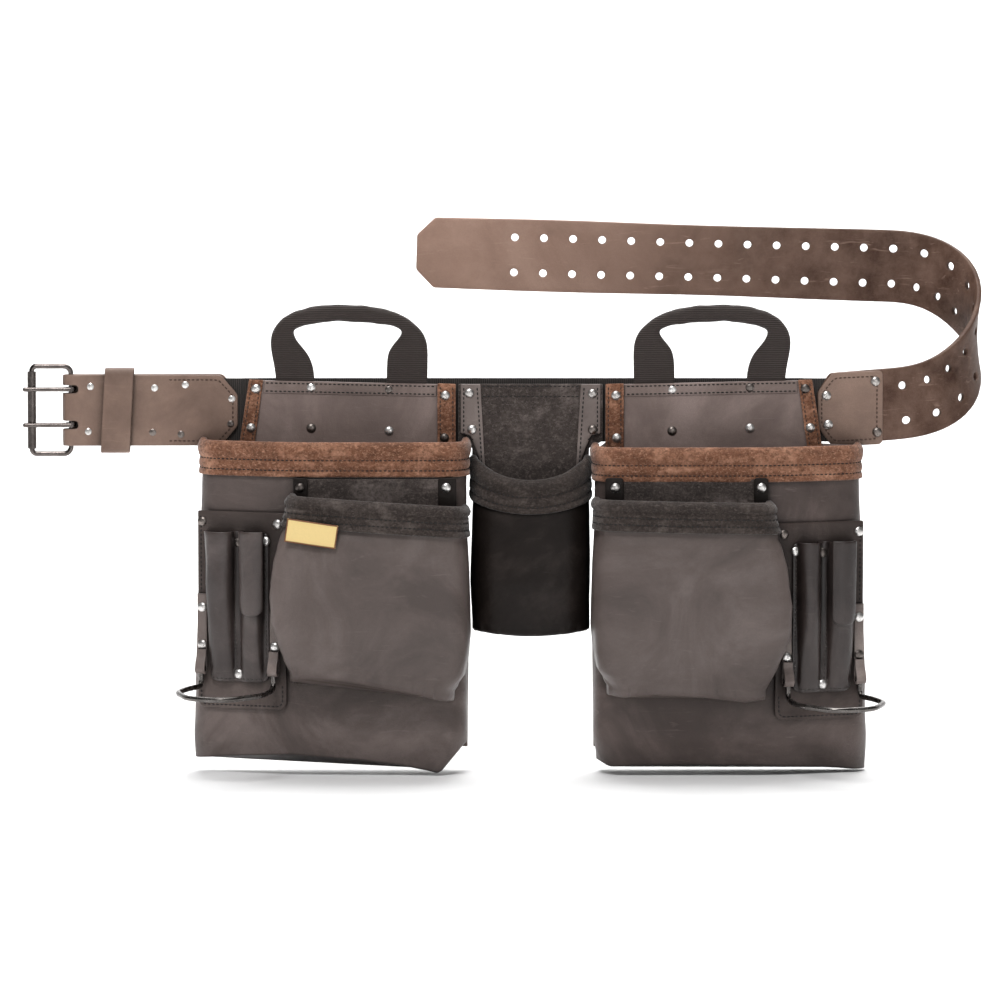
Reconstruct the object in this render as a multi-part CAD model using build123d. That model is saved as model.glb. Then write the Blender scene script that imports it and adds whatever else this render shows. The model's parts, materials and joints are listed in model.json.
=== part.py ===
from build123d import *
import math
import os

# Carpenter's tool belt. +X runs along the belt, +Y points to the wearer, +Z is up.
# The origin is the middle of the belt, on the face that rests against the waist.
# Bags are drawn on the +X side, with u as the distance from the middle, and mirrored for the left.

# ---- Driving dimensions, mm ----

STRAP_WIDTH = 63.5
WEB_WIDTH = 56.0
WEB_THICKNESS = 3.0
LEATHER = 2.5
SUEDE = 2.0
LAYER_GAP = 0.1

LINING_LENGTH = 490.0
LEFT_FLEX_X = -254.5
RIGHT_FLEX_X = 251.0
FLEX_GAP = 1.3
WEB_TAIL_LENGTH = 44.0

# Layers of the belt from the waist to the front, as y of each back face.
LINING_BACK = 0.0
WEB_BACK = LINING_BACK - LEATHER - LAYER_GAP
WEB_MIDDLE = WEB_BACK - WEB_THICKNESS / 2
HANDLE_THICKNESS = 2.3
HANDLE_BACK = WEB_BACK - WEB_THICKNESS - LAYER_GAP
YOKE_BACK = HANDLE_BACK - HANDLE_THICKNESS - LAYER_GAP
YOKE_FRONT = YOKE_BACK - LEATHER - 0.2
STRIP_BACK = YOKE_FRONT - LAYER_GAP

# Buckle end
PLY = 2.4
BILLET_END_X = -257.6
BUCKLE_WIRE = 4.6
BUCKLE_LENGTH = 39.0
BUCKLE_HEIGHT = 82.0
HEEL_BEND = 6.6
BUCKLE_BEND = 4.2
HEEL_X = -404.6
HEEL_BAR = 4.0
ROLLER_RADIUS = 3.9
ROLLER_LENGTH = 68.0
PRONG_WIRE = 4.0
PRONG_HEIGHTS = {"upper": 18.6, "lower": -12.9}
PRONG_REACH = 42.2
KEEPER_X = -363.4
KEEPER_WIDTH = 25.5
KEEPER_HEIGHT = 75.0
KEEPER_DEPTH = 18.2

# Tongue strap
TONGUE_THICKNESS = 4.6
TONGUE_START_X = 252.6
TONGUE_BEND_X = 318.0
LOOP_REACH = 76.0
LOOP_DEPTH = 121.0
PEAK_CLIMB = 42.8
NEAR_CLIMB = 4.6
FAR_CLIMB = 1.7
TONGUE_END_X = -101.5
TIP_CHAMFER = 16.0
HOLE_RADIUS = 3.4
HOLE_ROWS = 31.0
HOLE_PITCH = 26.0
HOLE_COLUMNS = 23
TIP_TO_HOLE = 87.5

# Bags
MOUTH_TOP = {"left": -25.5, "right": -30.0}
BINDING_HEIGHT = 28.0
FRONT_BINDING_HEIGHT = 24.5
POUCH_BOTTOM = -306.0
MAIN_WALL = 2.6
MAIN_FRONT = -62.0
SHOULDER = 211.0
SIDE_CORNER = 9.0
SKIN_GAP = 0.15
LIP = 2.4
FRONT_TOP = -74.5
FRONT_BOTTOM = -243.0
FRONT_SLOPE = {"left": 0.066, "right": -0.02}
FRONT_MIDDLE = 135.0
RIVET_RADIUS = 4.2
RIVET_RISE = 1.9
RIVET_SHANK = 1.4
RIVET_DEPTH = 1.6

# Hammer loops
LOOP_WIRE = 4.7
LOOP_TURN = 17.0
LOOP_HALF = 38.8
TAB_WIDTH = 9.0
PATCH_DROP = {"left": 0.0, "right": 9.0}

# Handles
FOLD_Z = 30.0
GRIP_DEPTH = 9.0

parts = {}


# ---- Helpers ----

def keep(name, shape):
    """Store one named sub-part."""
    parts[name] = shape


def outline_plate(points, back, thickness):
    """Flat sheet with an (x, z) outline, lying forward of y = back."""
    edge = Polyline(*[(x, back, z) for x, z in points], close=True)
    return extrude(make_face(edge), amount=thickness, dir=(0, -1, 0))


def box_between(low, high):
    """Box from its lowest to its highest corner."""
    size = [b - a for a, b in zip(low, high)]
    middle = [(a + b) / 2 for a, b in zip(low, high)]
    return Pos(*middle) * Box(*size)


def rod(points, bends, radius):
    """Round wire along straight runs joined by arcs."""
    path = FilletPolyline(*points, radius=bends)
    section = Plane(origin=path @ 0, z_dir=path % 0) * Circle(radius)
    return sweep(section, path=path)


def rod_between(start, end, radius):
    """Straight round bar."""
    run = Vector(*end) - Vector(*start)
    return extrude(Plane(origin=start, z_dir=run) * Circle(radius), amount=run.length)


def rivet(x, y, z):
    """Domed rivet head on a surface that faces forward, with a short shank behind it."""
    dome_radius = (RIVET_RADIUS ** 2 + RIVET_RISE ** 2) / (2 * RIVET_RISE)
    dome = Pos(0, 0, RIVET_RISE - dome_radius) * Sphere(dome_radius)
    head = dome & Pos(0, 0, RIVET_RISE / 2) * Cylinder(RIVET_RADIUS + 1, RIVET_RISE)
    shank = Pos(0, 0, (0.4 - RIVET_DEPTH) / 2) * Cylinder(RIVET_SHANK, RIVET_DEPTH + 0.4)
    return Pos(x, y, z) * Rot(90, 0, 0) * (head + shank)


def rivet_row(places, y):
    """Rivets at (x, z) places on the plane y."""
    return [rivet(x, y, z) for x, z in places]


def group(shapes):
    """Separate solids kept in one node."""
    return Compound(children=shapes)


def mirrored(shape, side):
    """A bag piece drawn for the right, on its own side."""
    if side == "left":
        return mirror(shape, about=Plane.YZ)
    return shape


# ---- Belt core ----

def make_core():
    half = WEB_WIDTH / 2
    keep("belt_webbing", box_between(
        (LEFT_FLEX_X + FLEX_GAP, WEB_BACK - WEB_THICKNESS, -half),
        (RIGHT_FLEX_X - FLEX_GAP, WEB_BACK, half)))
    keep("belt_lining", box_between(
        (-LINING_LENGTH / 2, -LEATHER, -half), (LINING_LENGTH / 2, LINING_BACK, half)))
    keep("left_web_tail", box_between(
        (LEFT_FLEX_X - WEB_TAIL_LENGTH, WEB_BACK - WEB_THICKNESS, -half),
        (LEFT_FLEX_X - FLEX_GAP, WEB_BACK, half)))
    keep("right_web_tail", box_between(
        (RIGHT_FLEX_X + FLEX_GAP, WEB_BACK - WEB_THICKNESS, -half),
        (RIGHT_FLEX_X + WEB_TAIL_LENGTH, WEB_BACK, half)))


# ---- Buckle end ----

def billet_outline(start, end, half, cut):
    """Strap blank with a chamfered right end."""
    return [(start, -half), (end - cut, -half), (end, -half + cut * 1.15),
            (end, half - cut * 1.15), (end - cut, half), (start, half)]


def make_billet():
    half = STRAP_WIDTH / 2 - 0.6
    middle = WEB_MIDDLE
    tail_pocket = box_between(
        (LEFT_FLEX_X - WEB_TAIL_LENGTH - 1, middle - WEB_THICKNESS / 2 - 0.05, -40),
        (LEFT_FLEX_X, middle + WEB_THICKNESS / 2 + 0.05, 40))
    front_back = middle - 0.05
    front = outline_plate(billet_outline(HEEL_X, BILLET_END_X, half, 15), front_back, PLY + 1.0)
    curl_outer = HEEL_BAR / 2 + 0.3 + PLY
    front += Pos(HEEL_X, middle, 0) * Cylinder(curl_outer, 2 * half)
    front -= Pos(HEEL_X, middle, 0) * Cylinder(HEEL_BAR / 2 + 0.08, 3 * half)
    for height in PRONG_HEIGHTS.values():
        front -= box_between((HEEL_X - 10, middle - 12, height - 3.4),
                             (HEEL_X + 6.5, middle + 12, height + 3.4))
    front -= tail_pocket
    keep("left_billet_front", front)
    back_start = HEEL_X + curl_outer + 0.6
    back = outline_plate(billet_outline(back_start, BILLET_END_X + 1.6, half + 0.6, 15.5),
                         middle + PLY + 1.05, PLY + 1.0)
    keep("left_billet_back", back - tail_pocket)
    face = front_back - PLY - 1.0
    places = [(-387.2, 21.0), (-389.3, -18.8), (-330.7, 19.8), (-332.5, -19.4),
              (-303.7, 22.6), (-307.6, -21.2), (-262.7, 10.2), (-263.9, -12.1)]
    keep("billet_rivets", group(rivet_row(places, face)))


def make_buckle():
    middle = WEB_MIDDLE
    top = (BUCKLE_HEIGHT - BUCKLE_WIRE) / 2
    far = HEEL_X - BUCKLE_LENGTH + BUCKLE_WIRE
    wire = BUCKLE_WIRE / 2
    turn = top - HEEL_BEND
    frame = rod([(HEEL_X, middle, turn), (HEEL_X, middle, top), (far, middle, top), (far, middle, -top),
                 (HEEL_X, middle, -top), (HEEL_X, middle, -turn)],
                [HEEL_BEND - 0.1, BUCKLE_BEND, BUCKLE_BEND, HEEL_BEND - 0.1], wire)
    frame += Pos(HEEL_X, middle, 0) * Cylinder(HEEL_BAR / 2, 2 * turn + 0.4)
    keep("buckle_frame", frame)
    roller = Cylinder(ROLLER_RADIUS, ROLLER_LENGTH) - Cylinder(wire + 0.08, ROLLER_LENGTH + 1)
    keep("buckle_roller", Pos(far, middle, 0) * roller)
    for name, height in PRONG_HEIGHTS.items():
        eye_radius = HEEL_BAR / 2 + 0.08
        start_y = middle - eye_radius - PRONG_WIRE / 2 - 0.2
        rest_y = middle - ROLLER_RADIUS - PRONG_WIRE / 2 - 0.3
        prong = Cylinder(eye_radius + PRONG_WIRE * 0.6, PRONG_WIRE)
        prong = Pos(HEEL_X, middle, height) * prong
        tip = (HEEL_X - PRONG_REACH + PRONG_WIRE / 2, rest_y - 0.3, height)
        prong += rod_between((HEEL_X, start_y, height), tip, PRONG_WIRE / 2)
        prong += Pos(*tip) * Sphere(PRONG_WIRE / 2)
        prong -= Pos(HEEL_X, middle, height) * Cylinder(eye_radius, PRONG_WIRE * 2)
        keep(f"{name}_prong", prong)


def make_keeper():
    half_x = KEEPER_WIDTH / 2
    half_z = KEEPER_HEIGHT / 2
    back = WEB_MIDDLE + PLY + 1.3 + LEATHER
    outer = box_between((KEEPER_X - half_x, back - KEEPER_DEPTH, -half_z),
                        (KEEPER_X + half_x, back, half_z))
    outer = fillet(outer.edges().filter_by(Axis.X), 3.4)
    inner = box_between((KEEPER_X - 40, back - KEEPER_DEPTH + LEATHER, -half_z + LEATHER),
                        (KEEPER_X + 40, back - LEATHER, half_z - LEATHER))
    keep("keeper_loop", outer - inner)


# ---- Tongue strap ----

def climb_angle(turn):
    """Climb of the strap in degrees as its heading turns from 0 to 180."""
    base = NEAR_CLIMB + (FAR_CLIMB - NEAR_CLIMB) * turn / 180
    return base + PEAK_CLIMB * math.sin(math.radians(turn)) ** 1.5


def tongue_path():
    """Stations (point, heading, climb) along the strap's centre line, from the belt to the tip."""
    stations = []
    x, y, z = TONGUE_START_X, WEB_MIDDLE, 0.0
    stations.append((Vector(x, y, z), 0.0, NEAR_CLIMB))
    straight = TONGUE_BEND_X - TONGUE_START_X
    x += straight
    z += straight * math.tan(math.radians(NEAR_CLIMB))
    steps = 24
    for step in range(steps + 1):
        turn = 180.0 * step / steps
        stations.append((Vector(x, y, z), turn, climb_angle(turn)))
        if step == steps:
            break
        middle_turn = turn + 90.0 / steps
        angle = math.radians(middle_turn)
        next_turn = math.radians(turn + 180.0 / steps)
        dx = LOOP_REACH * (math.sin(next_turn) - math.sin(math.radians(turn)))
        dy = LOOP_DEPTH / 2 * (math.cos(math.radians(turn)) - math.cos(next_turn))
        x += dx
        y += dy
        z += math.hypot(dx, dy) * math.tan(math.radians(climb_angle(math.degrees(angle))))
    run = x - TONGUE_END_X
    z += run * math.tan(math.radians(FAR_CLIMB))
    stations.append((Vector(TONGUE_END_X, y, z), 180.0, FAR_CLIMB))
    return stations


def ellipse_heading(turn):
    """Direction of travel on the bend's ellipse at a given station angle."""
    dx = LOOP_REACH * math.cos(math.radians(turn))
    dy = LOOP_DEPTH / 2 * math.sin(math.radians(turn))
    return Vector(dx, dy, 0).normalized()


def strap_frame(station):
    """Centre, travel, width and outward directions of the strap at a station."""
    centre, turn, climb = station
    heading = ellipse_heading(turn)
    rise = math.radians(climb)
    travel = heading * math.cos(rise) + Vector(0, 0, 1) * math.sin(rise)
    across = Vector(0, 0, 1) * math.cos(rise) - heading * math.sin(rise)
    return centre, travel, across, travel.cross(across)


def strap_section(station):
    """Rectangular cross-section of the strap at a station."""
    centre, travel, across, out = strap_frame(station)
    return Plane(origin=centre, x_dir=across, z_dir=travel) * Rectangle(STRAP_WIDTH, TONGUE_THICKNESS)


def make_tongue():
    stations = tongue_path()
    strap = loft([strap_section(station) for station in stations[:2]], ruled=True)
    bend = loft([strap_section(station) for station in stations[1:-1]], ruled=True)
    far = loft([strap_section(station) for station in stations[-2:]], ruled=True)
    strap = strap + bend + far
    tip, travel, across, out = strap_frame(stations[-1])
    for sign in (1, -1):
        corner = tip + across * (sign * STRAP_WIDTH / 2)
        cutter = Plane(origin=corner, x_dir=travel, z_dir=out) * Rot(0, 0, 45) * Rectangle(
            TIP_CHAMFER * math.sqrt(2), TIP_CHAMFER * math.sqrt(2))
        strap -= extrude(cutter, amount=10, both=True)
    distances = [0.0]
    for first, second in zip(stations, stations[1:]):
        distances.append(distances[-1] + (second[0] - first[0]).length)
    total = distances[-1]
    for column in range(HOLE_COLUMNS):
        place = total - TIP_TO_HOLE - column * HOLE_PITCH
        index = max(i for i in range(len(stations) - 1) if distances[i] <= place)
        share = (place - distances[index]) / (distances[index + 1] - distances[index])
        first, second = stations[index], stations[index + 1]
        centre = first[0] + (second[0] - first[0]) * share
        turn = first[1] + (second[1] - first[1]) * share
        climb = first[2] + (second[2] - first[2]) * share
        centre, travel, across, out = strap_frame((centre, turn, climb))
        for row in (-HOLE_ROWS / 2, HOLE_ROWS / 2):
            punch = Plane(origin=centre + across * row, z_dir=out) * Circle(HOLE_RADIUS)
            strap -= extrude(punch, amount=8, both=True)
    tail_pocket = box_between(
        (TONGUE_START_X - 5, WEB_MIDDLE - WEB_THICKNESS / 2 - 0.05, -40),
        (RIGHT_FLEX_X + WEB_TAIL_LENGTH + 1, WEB_MIDDLE + WEB_THICKNESS / 2 + 0.05, 40))
    front_ply = box_between((TONGUE_START_X - 5, WEB_MIDDLE - 10, -40),
                            (RIGHT_FLEX_X + WEB_TAIL_LENGTH + 16, WEB_MIDDLE + 0.0, 40))
    keep("tongue_strap", strap - tail_pocket - front_ply)
    half = STRAP_WIDTH / 2 + 0.5
    start = TONGUE_START_X
    end = RIGHT_FLEX_X + WEB_TAIL_LENGTH + 15
    patch = outline_plate(
        [(start, -half + 17), (start + 13, -half), (end, -half + 2), (end, half + 3),
         (start + 13, half), (start, half - 17)], WEB_MIDDLE - 0.05, PLY + 1.0)
    patch = fillet(patch.edges().filter_by(Axis.Y).sort_by(Axis.X)[:4], 6)
    keep("tongue_patch", patch - tail_pocket)
    places = [(260.3, 12.9), (262.0, -12.6), (303.3, 25.6), (305.0, -19.3)]
    keep("tongue_rivets", group(rivet_row(places, WEB_MIDDLE - 0.05 - PLY - 1.0)))


# ---- Pouches in general ----

def clip_levels(levels, top, bottom):
    """Levels from top down to bottom, interpolated where there is none."""
    def at(z):
        if z >= levels[0][0]:
            return (z,) + levels[0][1:]
        for upper, lower in zip(levels, levels[1:]):
            if z >= lower[0]:
                share = (upper[0] - z) / (upper[0] - lower[0])
                return (z,) + tuple(a + (b - a) * share for a, b in zip(upper[1:], lower[1:]))
        return (z,) + levels[-1][1:]
    between = [level for level in levels if bottom < level[0] < top]
    return [at(top)] + between + [at(bottom)]


def loft_levels(section, levels, grow=0.0, wall=0.0, open_back=False):
    """Straight-sided loft through a pouch's levels, grown all round or shrunk by the wall."""
    faces = []
    for level in levels:
        points = section(level, grow, wall, 5.0 if open_back else 0.0)
        faces.append(make_face(Polyline(*points, close=True)))
    return loft(faces, ruled=True)


def pouch_body(section, levels):
    """Leather wall of a pouch, open at the top and against the leather behind it."""
    hollow = clip_levels(levels, levels[0][0] + 8, levels[-1][0] + MAIN_WALL)
    return loft_levels(section, levels) - loft_levels(section, hollow, wall=MAIN_WALL, open_back=True)


def mouth_binding(section, levels, height):
    """Suede strip folded over the mouth's edge, on the outside of the wall and across its top."""
    mouth = levels[0][0]
    block = clip_levels(levels, mouth + LIP, mouth - height)
    core = clip_levels(levels, mouth + SKIN_GAP, mouth - height - 5)
    hollow = clip_levels(levels, mouth + 8, mouth - height - 5)
    strip = loft_levels(section, block, grow=SUEDE)
    strip -= loft_levels(section, core, grow=SKIN_GAP, open_back=True)
    return strip - loft_levels(section, hollow, wall=MAIN_WALL, open_back=True)


# ---- Main pouch ----

def main_section(level, grow, wall, back_shift):
    """Level section of a main pouch: flat front, then a face that slopes back outwards."""
    z, inner, outer, front = level
    low, high = inner - grow + wall, outer + grow - wall
    near = front - grow + wall
    back = YOKE_FRONT - LAYER_GAP + back_shift
    corner = near + (high - SIDE_CORNER - SHOULDER) * math.tan(math.radians(LOOP_TURN))
    points = [(low, back), (low, near + 14), (low + 12, near), (SHOULDER, near),
              (high - SIDE_CORNER, corner), (high, corner + 12), (high, back)]
    return [(x, y, z) for x, y in points]


def main_levels(side):
    """Main pouch sections from mouth to bottom: z, inner u, outer u, front y."""
    return [
        (MOUTH_TOP[side], 55.5, 288.0, MAIN_FRONT),
        (-120.0, 55.0, 290.5, MAIN_FRONT),
        (-205.0, 54.5, 294.5, MAIN_FRONT),
        (-284.0, 54.5, 297.5, MAIN_FRONT),
        (POUCH_BOTTOM, 62.0, 292.0, MAIN_FRONT + 10),
    ]


def make_main_pouch(side):
    levels = main_levels(side)
    keep(f"{side}_main_pouch", mirrored(pouch_body(main_section, levels), side))
    binding = mouth_binding(main_section, levels, BINDING_HEIGHT)
    keep(f"{side}_main_binding", mirrored(binding, side))


# ---- Back leather, strips and handles ----

def make_back_leather(side):
    outline = [(66.0, 23.0), (246.0, 27.0), (254.5, -29.0), (287.5, -30.5), (291.5, -120),
               (295.5, -240), (294.0, -298.0), (55.5, -298.0), (54.0, -180.0), (58.5, -34.0), (66.0, -28.0)]
    keep(f"{side}_back_leather", mirrored(outline_plate(outline, YOKE_BACK, LEATHER + 0.2), side))
    inner = [(65.8, 23.6), (82.0, 24.2), (82.0, -60.0), (65.8, -60.0)]
    keep(f"{side}_inner_strip", mirrored(outline_plate(inner, STRIP_BACK, SUEDE), side))
    outer = [(235.0, 27.2), (247.6, 27.6), (261.0, -60.0), (247.0, -60.0)]
    keep(f"{side}_outer_strip", mirrored(outline_plate(outer, STRIP_BACK, SUEDE), side))
    heads = rivet_row([(192.9, 20.3), (124.7, 18.5), (193.0, -15.5), (124.5, -18.0)], YOKE_FRONT)
    heads += rivet_row([(75.0, 13.5), (75.8, -24.0), (241.4, 19.5), (246.0, -15.0)], STRIP_BACK - SUEDE)
    keep(f"{side}_yoke_rivets", mirrored(group(heads), side))


def make_handle(side):
    """Webbing loop that folds at the top of the yoke, with its two sewn-in ends."""
    z = FOLD_Z
    legs = [[(91.0, z), (126.5, z), (111.5, 71.0), (92.5, 67.0)],
            [(189.5, z), (224.5, z), (229.0, 66.5), (210.5, 70.0)]]
    grip_outline = [(92.5, 64.0), (95.0, 75.0), (106.0, 84.0), (130.0, 90.5), (155.0, 93.5),
                    (180.0, 91.5), (206.0, 86.0), (224.0, 77.0), (229.0, 64.0), (210.5, 67.0),
                    (198.0, 74.0), (172.0, 78.0), (150.0, 78.0), (124.0, 75.5), (111.5, 68.0)]
    middle = HANDLE_BACK - HANDLE_THICKNESS / 2
    handle = outline_plate(grip_outline, middle + GRIP_DEPTH / 2, GRIP_DEPTH)
    for leg in legs:
        handle += outline_plate(leg, HANDLE_BACK, HANDLE_THICKNESS)
    keep(f"{side}_handle", mirrored(handle, side))
    ends = [box_between((low, HANDLE_BACK - HANDLE_THICKNESS, -28), (high, HANDLE_BACK, 27.5))
            for low, high in ((91.0, 126.5), (189.5, 224.5))]
    keep(f"{side}_handle_ends", mirrored(group(ends), side))


# ---- Front pouch ----

FRONT_BACK = MAIN_FRONT - SUEDE - 0.3
FRONT_LEVELS = [
    # z, inner u, outer u, front y, tuck of the outer seam
    (FRONT_TOP, 56.5, 214.0, -92.0, 2.0),
    (-115.0, 54.5, 224.0, -98.0, 9.5),
    (-165.0, 52.5, 231.5, -103.0, 17.0),
    (-190.0, 52.5, 228.0, -104.0, 13.6),
    (-222.0, 58.0, 215.0, -100.0, 3.5),
    (FRONT_BOTTOM, 72.0, 206.0, -88.0, 2.0),
]
BULGE_START = 9.5


def front_section(side):
    """Section function of a front pouch, whose levels slope a little as it hangs."""
    slope = FRONT_SLOPE[side]

    def section(level, grow, wall, back_shift):
        z, inner, outer, front, tuck = level
        low, high = inner - grow + wall, outer + grow - wall
        near = front - grow + wall
        seam = high - tuck
        back = FRONT_BACK + back_shift
        middle = (low + high) / 2
        points = [(low, back), (low, near + 14), (low + 10, near + 2), (middle, near - 3),
                  (high - 10, near + 2), (high, near + 10), (seam, FRONT_BACK - BULGE_START), (seam, back)]
        return [(x, y, z + slope * (x - FRONT_MIDDLE)) for x, y in points]

    return section


def make_front_pouch(side):
    section = front_section(side)
    keep(f"{side}_front_pouch", mirrored(pouch_body(section, FRONT_LEVELS), side))
    binding = mouth_binding(section, FRONT_LEVELS, FRONT_BINDING_HEIGHT)
    keep(f"{side}_front_binding", mirrored(binding, side))


def make_front_lining(side):
    """Rough suede panel behind the front pouch, and the two ears its corners are riveted by."""
    lining = box_between((72.0, FRONT_BACK + 0.1, -236.0), (206.0, FRONT_BACK + 0.1 + SUEDE, -59.0))
    keep(f"{side}_front_lining", mirrored(lining, side))
    ears = []
    for low, high in ((65.0, 81.0), (195.0, 207.6)):
        ears.append(box_between((low, FRONT_BACK - SUEDE, -92.0), (high, FRONT_BACK, -56.0)))
    keep(f"{side}_front_ears", mirrored(group(ears), side))
    return rivet_row([(74.0, -62.5), (201.5, -62.5)], FRONT_BACK - SUEDE)


# ---- Tool patch and hammer loop, on the outer third of the bag's front ----

PATCH_X = 255.0
PATCH_BACK = MAIN_FRONT + (PATCH_X - SHOULDER) * math.tan(math.radians(LOOP_TURN)) - 0.35
PATCH_FRONT = -LEATHER - LAYER_GAP
TUBES = ((-28.4, -2.4), (2.4, 28.4))
TUBE_TOP = -106.0
TUBE_BOTTOM = -236.0
TUBE_BULGE = 16.0
TUBE_LOW_BULGE = 12.0
TUBE_TUCK = 2.0
TUBE_WALL = 2.2


def on_patch(shape, side):
    """Place a piece drawn with its back on y = 0 and middle on x = 0 against the sloping patch."""
    placed = Pos(PATCH_X, PATCH_BACK, -PATCH_DROP[side]) * Rot(0, 0, LOOP_TURN) * shape
    return mirrored(placed, side)


def make_patch(side):
    """Tool patch, pliers sleeve and pencil flap, and the patch's rivets."""
    patch = box_between((-41.0, -LEATHER, -259.0), (38.0, 0, -85.0))
    patch = fillet(patch.edges().filter_by(Axis.Y).sort_by(Axis.Z)[:2], 9)
    keep(f"{side}_tool_patch", on_patch(patch, side))
    sleeve = box_between((-28.6, PATCH_FRONT - 2.0, TUBE_BOTTOM), (28.6, PATCH_FRONT, TUBE_TOP))
    for low, high in TUBES:
        sleeve += sleeve_tube(low, high)
    for low, high in TUBES:
        sleeve -= sleeve_bore(low, high)
    keep(f"{side}_tool_sleeve", on_patch(sleeve, side))
    centre = 16.0 if side == "right" else -16.0
    flap = outline_plate([(centre - 11, -178), (centre - 11, TUBE_TOP), (centre + 11, TUBE_TOP),
                          (centre + 11, -178), (centre + 6, -184), (centre - 6, -184)],
                         PATCH_FRONT - TUBE_BULGE - 0.4, SUEDE)
    keep(f"{side}_pencil_flap", on_patch(flap, side))
    heads = rivet_row([(-35.5, -95.0), (34.0, -94.5)], -LEATHER)
    return heads + rivet_row([(0.0, -112.0), (0.0, -228.0)], PATCH_FRONT - 2.0)


def stacked(outlines):
    """Loft between level (x, y) outlines given with their heights."""
    faces = []
    for points, z in outlines:
        faces.append(make_face(Polyline(*[(x, y, z) for x, y in points], close=True)))
    return loft(faces, ruled=True)


def tube_outline(low, high, bulge, tuck, wall=0.0):
    """Half-octagon outline of a tube that stands off the patch by its bulge."""
    back = PATCH_FRONT - wall
    low, high = low + tuck + wall, high - tuck - wall
    front = PATCH_FRONT - bulge + wall
    knee = PATCH_FRONT - bulge * 0.55 + wall * 0.3
    corner = 6 - wall * 0.4
    return [(low, back), (low, knee), (low + corner, front), (high - corner, front), (high, knee), (high, back)]


def sleeve_tube(low, high):
    """Outside of one pliers tube, which narrows downwards."""
    return stacked([(tube_outline(low, high, TUBE_BULGE, 0.0), TUBE_TOP),
                    (tube_outline(low, high, TUBE_LOW_BULGE, TUBE_TUCK), TUBE_BOTTOM)])


def sleeve_bore(low, high):
    """Open hollow of one pliers tube, right through from top to bottom."""
    return stacked([(tube_outline(low, high, TUBE_BULGE, 0.0, TUBE_WALL), TUBE_TOP + 0.5),
                    (tube_outline(low, high, TUBE_LOW_BULGE, TUBE_TUCK, TUBE_WALL), TUBE_BOTTOM - 0.5)])


TAB_CENTRES = (-33.4, 33.4)
PIN_Z = -224.0
PIN_Y = PATCH_FRONT - 5.6
TAB_TOP = -158.0
RING_DROP = 15.5


def make_hammer_loop(side):
    """Two riveted leather tabs, and the steel wire loop that swings in their bottom folds."""
    radius = LOOP_WIRE / 2
    tabs = []
    for centre in TAB_CENTRES:
        low, high = centre - TAB_WIDTH / 2, centre + TAB_WIDTH / 2
        across = Pos(centre, PIN_Y, PIN_Z) * Rot(0, 90, 0)
        tab = box_between((low, PATCH_FRONT - LEATHER, PIN_Z), (high, PATCH_FRONT, TAB_TOP))
        tab += across * Cylinder(radius + 2.6, TAB_WIDTH)
        tab -= across * Cylinder(radius + 0.08, TAB_WIDTH + 2)
        tab -= box_between((centre - radius - 0.45, PIN_Y - 12, PIN_Z - 12),
                           (centre + radius + 0.45, PIN_Y + radius + 0.6, PIN_Z + radius + 0.6))
        tabs.append(tab)
    keep(f"{side}_hammer_tabs", on_patch(group(tabs), side))
    left, right = TAB_CENTRES
    ring_z = PIN_Z - RING_DROP
    route = [(left, PIN_Y, PIN_Z), (left, PIN_Y, ring_z), (-LOOP_HALF + 1, PIN_Y - 22, ring_z),
             (-LOOP_HALF, PIN_Y - 50, ring_z), (-18, PIN_Y - 79, ring_z - 1)]
    route += [(-x, y, z) for x, y, z in reversed(route)]
    loop = rod(route, [5, 12, 30, 24, 24, 30, 12, 5], radius)
    for centre in TAB_CENTRES:
        pin = Pos(centre, PIN_Y, PIN_Z) * Rot(0, 90, 0)
        loop += pin * Cylinder(radius, TAB_WIDTH - 0.6)
    keep(f"{side}_hammer_loop", on_patch(loop, side))
    places = [(centre, z) for centre in TAB_CENTRES for z in (-170.0, -203.0)]
    return rivet_row(places, PATCH_FRONT - LEATHER)


# ---- Centre pocket ----

CENTRE_LEVELS = [
    # z, half width, front y
    (-44.0, 49.0, -34.0),
    (-90.0, 50.0, -44.0),
    (-150.0, 50.4, -46.0),
    (-187.0, 50.0, -38.0),
    (-196.0, 48.0, -28.0),
]
POCKET_DIP = -61.0
DIP_RADIUS = 78.0


def centre_section(level, grow, wall, back_shift):
    """Level section of the centre pocket."""
    z, half, front = level
    side = half + grow - wall
    near = front - grow + wall
    back = YOKE_FRONT - LAYER_GAP + back_shift
    points = [(-side, back), (-side, near + 12), (-side + 14, near + 2), (0, near - 3),
              (side - 14, near + 2), (side, near + 12), (side, back)]
    return [(x, y, z) for x, y in points]


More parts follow.
